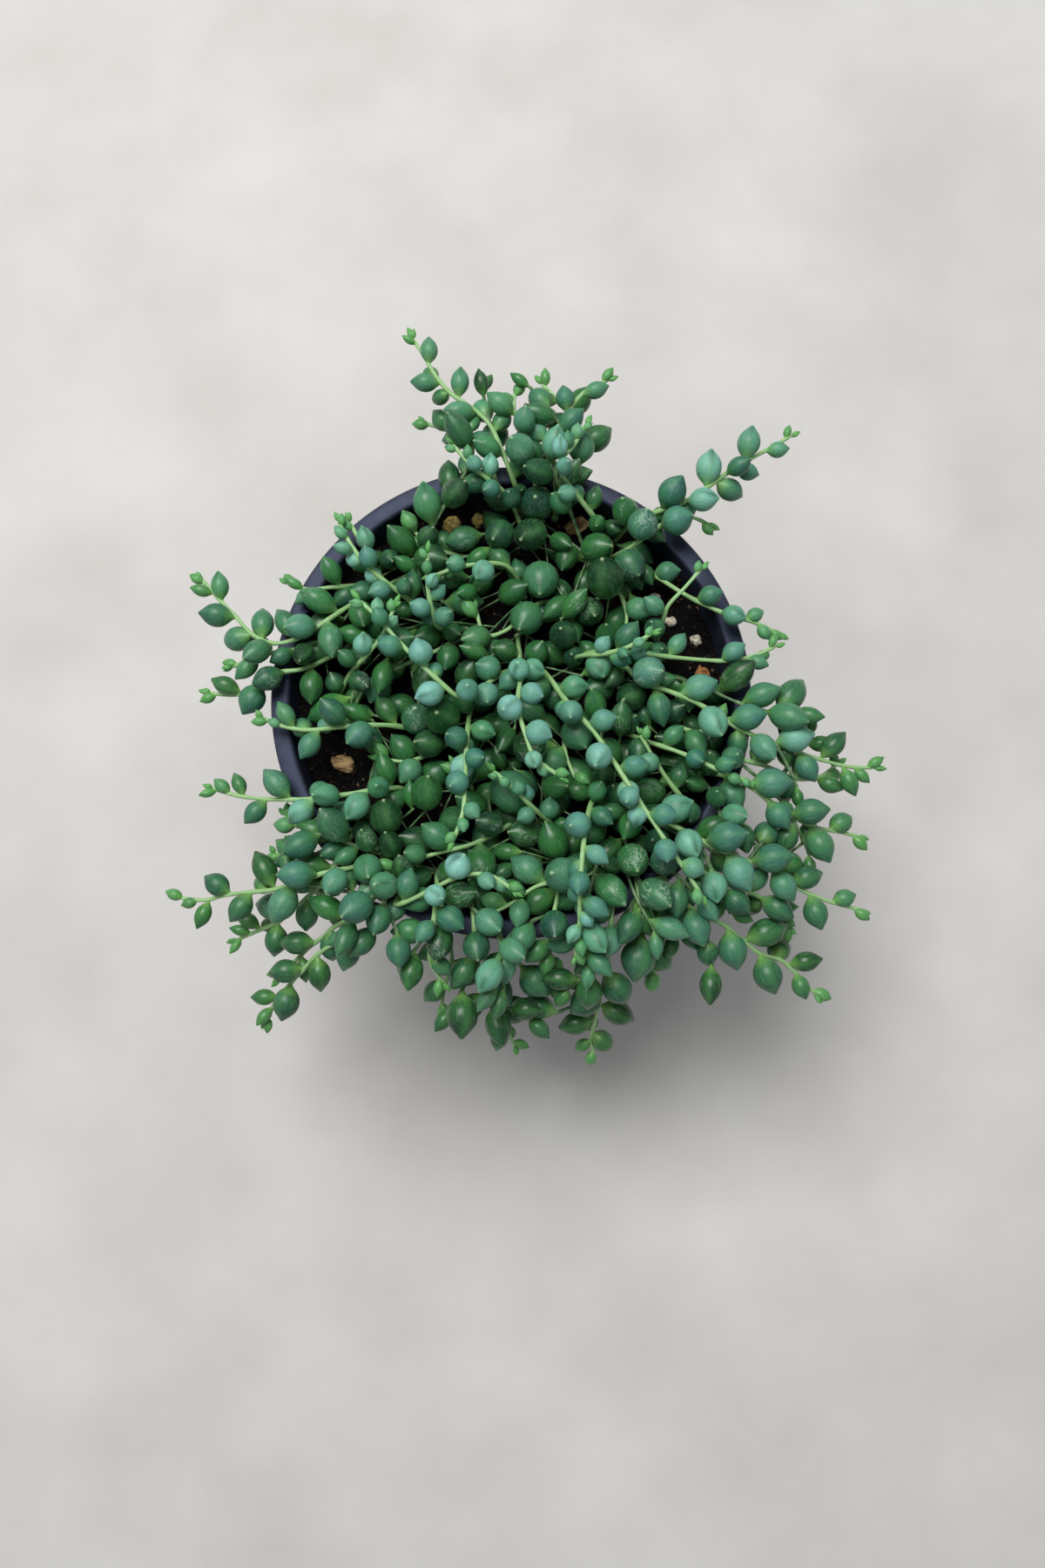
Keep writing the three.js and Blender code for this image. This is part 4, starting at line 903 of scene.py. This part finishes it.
leaves = add_node(plant_tree, "GeometryNodeRealizeInstances", {"Geometry": leaves.outputs["Instances"]})
leaves = add_node(plant_tree, "GeometryNodeSetMaterial", {
    "Geometry": leaves.outputs[0], "Material": given["Leaf skin"]})
grown = add_node(plant_tree, "GeometryNodeJoinGeometry")
for part in (leaves, tube):
    plant_tree.links.new(part.outputs[0], grown.inputs[0])
add_node(plant_tree, "NodeGroupOutput", {"Geometry": grown.outputs[0]})

# Living leaf: a plump waxy skin over clear watery tissue. It is deep green when old, and painted shade
# makes the green darker on the leaves low on the plant. It is bluish with bloom on the high shoots, and
# a painted sky reflection makes the side of each leaf that faces up more bluish and lighter and the side
# underneath greener and darker. It is yellow-green at the buds, with a pale neck, fine lengthwise lines
# and, on some, chalky marks of dried water. The wax gives a broad soft highlight.
leaf_skin, tree, shader, place = start_material("waxy_leaf_skin")
tone, bloom, young, window, chalk = (
    add_node(tree, "ShaderNodeAttribute", attribute_name=key).outputs["Fac"]
    for key in ("tone", "bloom", "young", "window", "chalk"))
spot = add_node(tree, "ShaderNodeAttribute", attribute_name="in_leaf").outputs["Vector"]
across = add_node(tree, "ShaderNodeSeparateXYZ", {0: spot}).outputs
reach = across["Z"]
beside = add_node(tree, "ShaderNodeMath", {0: across["Y"]}, operation="ABSOLUTE").outputs[0]
# Patterns: patches of 6 mm over the plant, thin lines along each leaf, and dried water that leaves thin
# wavy lines in a few spots of 5 mm. The lines and waves follow the leaf, whose length is one unit.
along_leaf = add_node(tree, "ShaderNodeVectorMath", {0: spot, 1: (17, 17, 0.8)}, operation="MULTIPLY")
waves = add_node(tree, "ShaderNodeVectorMath", {0: spot, 1: (9, 9, 3)}, operation="MULTIPLY")
waves = add_node(tree, "ShaderNodeVectorMath", {
    0: place, 1: [1 / (6.25 * MM)] * 3, 2: waves.outputs[0]}, operation="MULTIPLY_ADD")
patches, lines, marks, where = (add_node(tree, "ShaderNodeTexNoise", {
    "Vector": vector, "Scale": scale, "Detail": detail}).outputs["Fac"]
    for vector, scale, detail in ((place, 1 / (6.25 * MM), 2.0), (along_leaf.outputs[0], 1.0, 2.0),
                                  (waves.outputs[0], 1.0, 4.0), (place, 1 / (4.762 * MM), 1.0)))
wave = add_node(tree, "ShaderNodeMath", {0: marks, 1: 0.5}, operation="SUBTRACT").outputs[0]
wave = add_node(tree, "ShaderNodeMath", {0: wave}, operation="ABSOLUTE").outputs[0]
chalk = share_of(tree, 0.72, ((wave, 0.045, 0.0), (where, 0.48, 0.64), (chalk, 0.0, 1.0)))
# Painted sky reflection: the bloom is made stronger on the side of each leaf that faces up and weaker
# underneath, so the upper side is painted more bluish and lighter and the under side greener and darker.
upper = add_node(tree, "ShaderNodeMapRange", {
    "Value": across["X"], "From Min": -0.35, "From Max": 0.4, "To Min": 0.6, "To Max": 1.1})
bloom = add_node(tree, "ShaderNodeMath", {0: bloom, 1: upper.outputs["Result"]},
                 operation="MULTIPLY", use_clamp=True).outputs[0]
# Painted shade: the tone is lower on the leaves low on the plant, and a lower tone gives a darker deep
# green and a darker bluish green.
deep = lay_colours(tree, colour("#0d2b19"), [("#3b8a42", 1.0, (tone, 0.0, 1.0))])
bluish = lay_colours(tree, colour("#2f6c62"), [("#8ac4bb", 1.0, (tone, 0.0, 1.0))])
skin = add_node(tree, "ShaderNodeMix", {0: bloom, 6: deep, 7: bluish}, data_type="RGBA").outputs[2]
# The clear window is a slit down the side of the leaf that faces up.
facing = (across["X"], 0.02, 0.16)
skin = lay_colours(tree, skin, [
    ("#46913c", 0.22, (reach, 0.75, 0.25)),
    ("#5fa055", 1.0, (young, 0.5, 1.0)),
    ("#569050", 0.2, (patches, 0.35, 0.75)),
    ("#86b45c", 0.7, (reach, 0.3, 0.05)),
    ("#b9cc93", 0.6, (reach, 0.945, 0.99)),
    ("#123521", 0.3, (lines, 0.5, 0.75)),
    ("#86b98e", 0.16, (lines, 0.48, 0.25)),
    ("#5fa35a", 0.16, (beside, 0.22, 0.04), facing),
    ("#1d4d38", 0.75, (beside, 0.2, 0.04), facing, (reach, 0.4, 0.8), (window, 0.0, 1.0)),
    ("#1b4833", 0.7, (beside, 0.034, 0.004), facing, (reach, 0.5, 0.85), (window, 0.0, 1.0)),
    ("#b4c6b4", 1.0, (chalk, 0.0, 1.0))])
matt = add_node(tree, "ShaderNodeMath", {0: bloom, 1: 0.2, 2: 0.33}, operation="MULTIPLY_ADD")
matt = add_node(tree, "ShaderNodeMath", {0: chalk, 1: 0.3, 2: matt.outputs[0]}, operation="MULTIPLY_ADD")
relief = add_node(tree, "ShaderNodeBump", {"Strength": 0.06, "Distance": 0.3 * MM, "Height": lines})
fill(tree, shader, {
    "Base Color": skin, "Roughness": matt.outputs[0], "Normal": relief.outputs["Normal"],
    "IOR": 1.42, "Specular IOR Level": 0.5, "Subsurface Weight": 0.1, "Subsurface Scale": 2 * MM,
    "Subsurface Radius": (0.5, 1.0, 0.3), "Sheen Weight": 0.12, "Sheen Roughness": 0.22,
    "Sheen Tint": colour("#c9e4dc")})

# Living stem: smooth and pale yellow-green on the long stems, palest at the tips, and darker green on
# the short shoots, with faint streaks of 2.5 mm.
stem_skin, tree, shader, place = start_material("smooth_stem_skin")
young = add_node(tree, "ShaderNodeAttribute", attribute_name="young").outputs["Fac"]
streaks = add_node(tree, "ShaderNodeTexNoise", {
    "Vector": place, "Scale": 1 / (2.5 * MM), "Detail": 3.0}).outputs["Fac"]
relief = add_node(tree, "ShaderNodeBump", {"Strength": 0.2, "Distance": 0.2 * MM, "Height": streaks})
fill(tree, shader, {
    "Base Color": lay_colours(tree, colour("#27482c"), [
        ("#79a364", 1.0, (young, -0.6, 0.0)),
        ("#92bb7e", 1.0, (young, 0.0, 1.0)),
        ("#a6c793", 0.5, (streaks, 0.4, 0.75))]),
    "Roughness": 0.45, "Normal": relief.outputs["Normal"], "IOR": 1.42,
    "Subsurface Weight": 0.1, "Subsurface Scale": 1 * MM})

# The root crown's heights over the soil and its radius at each.
CROWN = [(-5.5, 1.3), (0, 1.5), (CROWN_RISE - 0.5, 1.2), (CROWN_RISE, 0.5)]
# The stem's radius at its foot, and how young its skin and its leaves look.
STEM_THICKEST = {"long": 0.85, "side": 0.65, "low": 0.42}
LEAF_YOUTH = {"long": 1, "side": 0.6, "low": 0.4}
# The stem swells by this much where a leaf joins it, over this distance.
JOINT_SWELL, JOINT_REACH = 0.22, 1.5
# Turn from the stem's heading, roll about it, length and width of the buds at a growing tip.
TIP_BUDS = [(0.1, 0, 4.4, 1.7), (0.6, 0.4, 3.2, 1.4)]
for name, ((x, y), _) in PLANTS.items():
    crown = [np.array([x, y, soil_height(x, y) + rise]) for rise, _ in CROWN]
    paths = [(crown, [radius for _, radius in CROWN], [0] * len(CROWN))]
    leaves = []
    for stem in stems:
        if stem["name"] != name:
            continue
        is_long = stem["kind"] == "long"
        whole = smooth_run(list(stem["knots"]))
        fine = whole[::3]
        if len(whole) % 3 != 1:
            fine = np.vstack([fine, whole[-1]])
        shares = np.linspace(0, 1, len(fine))
        thickness = STEM_THICKEST[stem["kind"]] * (1 - 0.4 * shares ** 1.5)
        for leaf in stem["leaves"]:
            joint = leaf["on"] / (len(stem["knots"]) - 1)
            thickness += JOINT_SWELL * np.exp(-((shares - joint) * run_length(fine) / JOINT_REACH) ** 2)
        paths.append((fine, thickness, shares if is_long else 0.2 * shares - 0.6))
        heading = direction(fine[-1] - fine[-2])
        beside = direction(np.cross(heading, (0.0, 0.0, 1.0)))
        above = np.cross(beside, heading)
        for n, (open_by, roll, length, width) in enumerate(TIP_BUDS if is_long else ()):
            chance = draws(SEED + 31 * len(paths) + 7 * n + plant_number[name] * 97, 1, 3)
            out = beside * math.cos(roll + chance[0]) + above * math.sin(roll + chance[0])
            aim = heading * math.cos(open_by) + out * math.sin(open_by)
            size = (0.75 + 0.45 * chance[1]) * MM
            leaves.append({"co": fine[-1] - heading * 0.4, "aim": aim, "face": (0.1, 0.2, 1),
                           "leaf_length": length * size, "leaf_width": width * size,
                           "tone": chance[2], "bloom": 0.3, "young": 1.0})
        for leaf in stem["leaves"]:
            at = whole[min(int(round(leaf["on"] * RUN_STEPS)), len(whole) - 1)]
            height = float(at[2]) - POT_HEIGHT
            chance = leaf["chance"]
            bloom = 0.9 * within((height - 2) / 15, 0, 1)
            if is_long:
                bloom += within(0.4 + height / 20, 0, 0.4) * leaf["on"] / (len(stem["knots"]) - 1)
            # Dried water stays on the leaves over the pot that have little bloom.
            splashed = bloom < 0.5 and math.hypot(at[0], at[1]) < RIM_RADIUS
            # Painted shade: the tone is random times a share that falls with the leaf's height, so leaves
            # lower than about 11 mm over the rim, and most of all those hanging under it, are painted
            # darker.
            leaves.append({
                "co": at, "aim": leaf["aim"],
                "face": (0.9 * (chance[1] - 0.5), 0.9 * (chance[2] - 0.5), 1),
                "leaf_length": leaf["length"] * MM, "leaf_width": leaf["width"] * MM,
                "tone": chance[3] ** 1.3 * within(0.55 + height / 24, 0.15, 1),
                "bloom": within(bloom + 0.5 * (chance[2] - 0.5), 0, 1),
                "young": leaf["youth"] * LEAF_YOUTH[stem["kind"]],
                "window": within(2.4 * chance[3] - 1.3, 0, 0.75),
                "chalk": min(max(chance[0] - 0.7, 0) * (4 if splashed else 0.8), 1)})
    points, edges = [], []
    for path, thickness, young in paths:
        edges += [(k, k + 1) for k in range(len(points), len(points) + len(path) - 1)]
        points += [{"co": at, "thickness": radius * MM, "young": share}
                   for at, radius, share in zip(path, thickness, young)]
    points += leaves
    mesh = bpy.data.meshes.new("plant_" + name)
    mesh.from_pydata([[c * MM for c in each["co"]] for each in points], edges, [])
    for key in ("thickness", "leaf_length", "leaf_width", "tone", "bloom", "young", "chalk", "window"):
        numbers = [float(each.get(key, 0)) for each in points]
        mesh.attributes.new(key, "FLOAT", "POINT").data.foreach_set("value", numbers)
    for key in ("aim", "face"):
        turns = [float(c) for each in points for c in each.get(key, (0, 0, 1))]
        mesh.attributes.new(key, "FLOAT_VECTOR", "POINT").data.foreach_set("vector", turns)
    plant = add_object("plant_" + name, mesh)
    run_nodes(plant, plant_tree, {
        "Leaf": leaf_shape, "Stem sides": STEM_SIDES, "Stem thickness": 1.0, "Leaf size": LEAF_SIZE,
        "Leaf skin": leaf_skin, "Stem skin": stem_skin})
    rounding = plant.modifiers.new("rounding", "SUBSURF")
    rounding.levels = rounding.render_levels = 1
    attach(plant, "root")
    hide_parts("strand_" + name)
bpy.data.objects.remove(leaf_shape)

# ---- Floor, light and camera ------------------------------------------------------------------------
# A pale smooth floor under soft overcast light from above, seen from over the plant.

floor_mesh = bpy.data.meshes.new("floor")
floor_mesh.from_pydata([(-3, -3, 0), (3, -3, 0), (3, 3, 0), (-3, 3, 0)], [], [(0, 1, 2, 3)])
floor = add_object("floor", floor_mesh)
# Smooth pale plaster: matt, a little cloudy over 7 cm.
plaster, tree, shader, place = start_material("smooth_pale_plaster")
clouds = add_node(tree, "ShaderNodeTexNoise", {
    "Vector": place, "Scale": 1 / (71.43 * MM), "Detail": 6.0}).outputs["Fac"]
fill(tree, shader, {
    "Base Color": lay_colours(tree, colour("#c4c0bb"), [("#d3d0cb", 1.0, (clouds, 0.3, 0.7))]),
    "Roughness": 0.9})
floor_mesh.materials.append(plaster)

world = bpy.data.worlds.new("overcast")
world.use_nodes = True
fill(world.node_tree, world.node_tree.nodes["Background"], {"Color": colour("#e8edf2"), "Strength": 0.39})
bpy.context.scene.world = world
sky_light = bpy.data.lights.new("sky_light", "AREA")
sky_light.shape = "DISK"
sky_light.size = 0.8
sky_light.energy = 18.5
sky = add_object("sky_light", sky_light)
sky.location = (-0.25, 0.45, 1.3)
sky.rotation_euler = (Vector((0, 0, 0.12)) - sky.location).to_track_quat("-Z", "Y").to_euler()

camera_data = bpy.data.cameras.new("camera")
camera_data.sensor_width = 36
camera_data.lens = 27.06
camera_data.clip_start = 0.01
camera = add_object("camera", camera_data)
camera.location = (0.00352, -0.07643, 0.47446)
camera.rotation_euler = (math.radians(7.735), 0, 0)
bpy.context.scene.camera = camera
bpy.context.scene.view_settings.view_transform = "Standard"
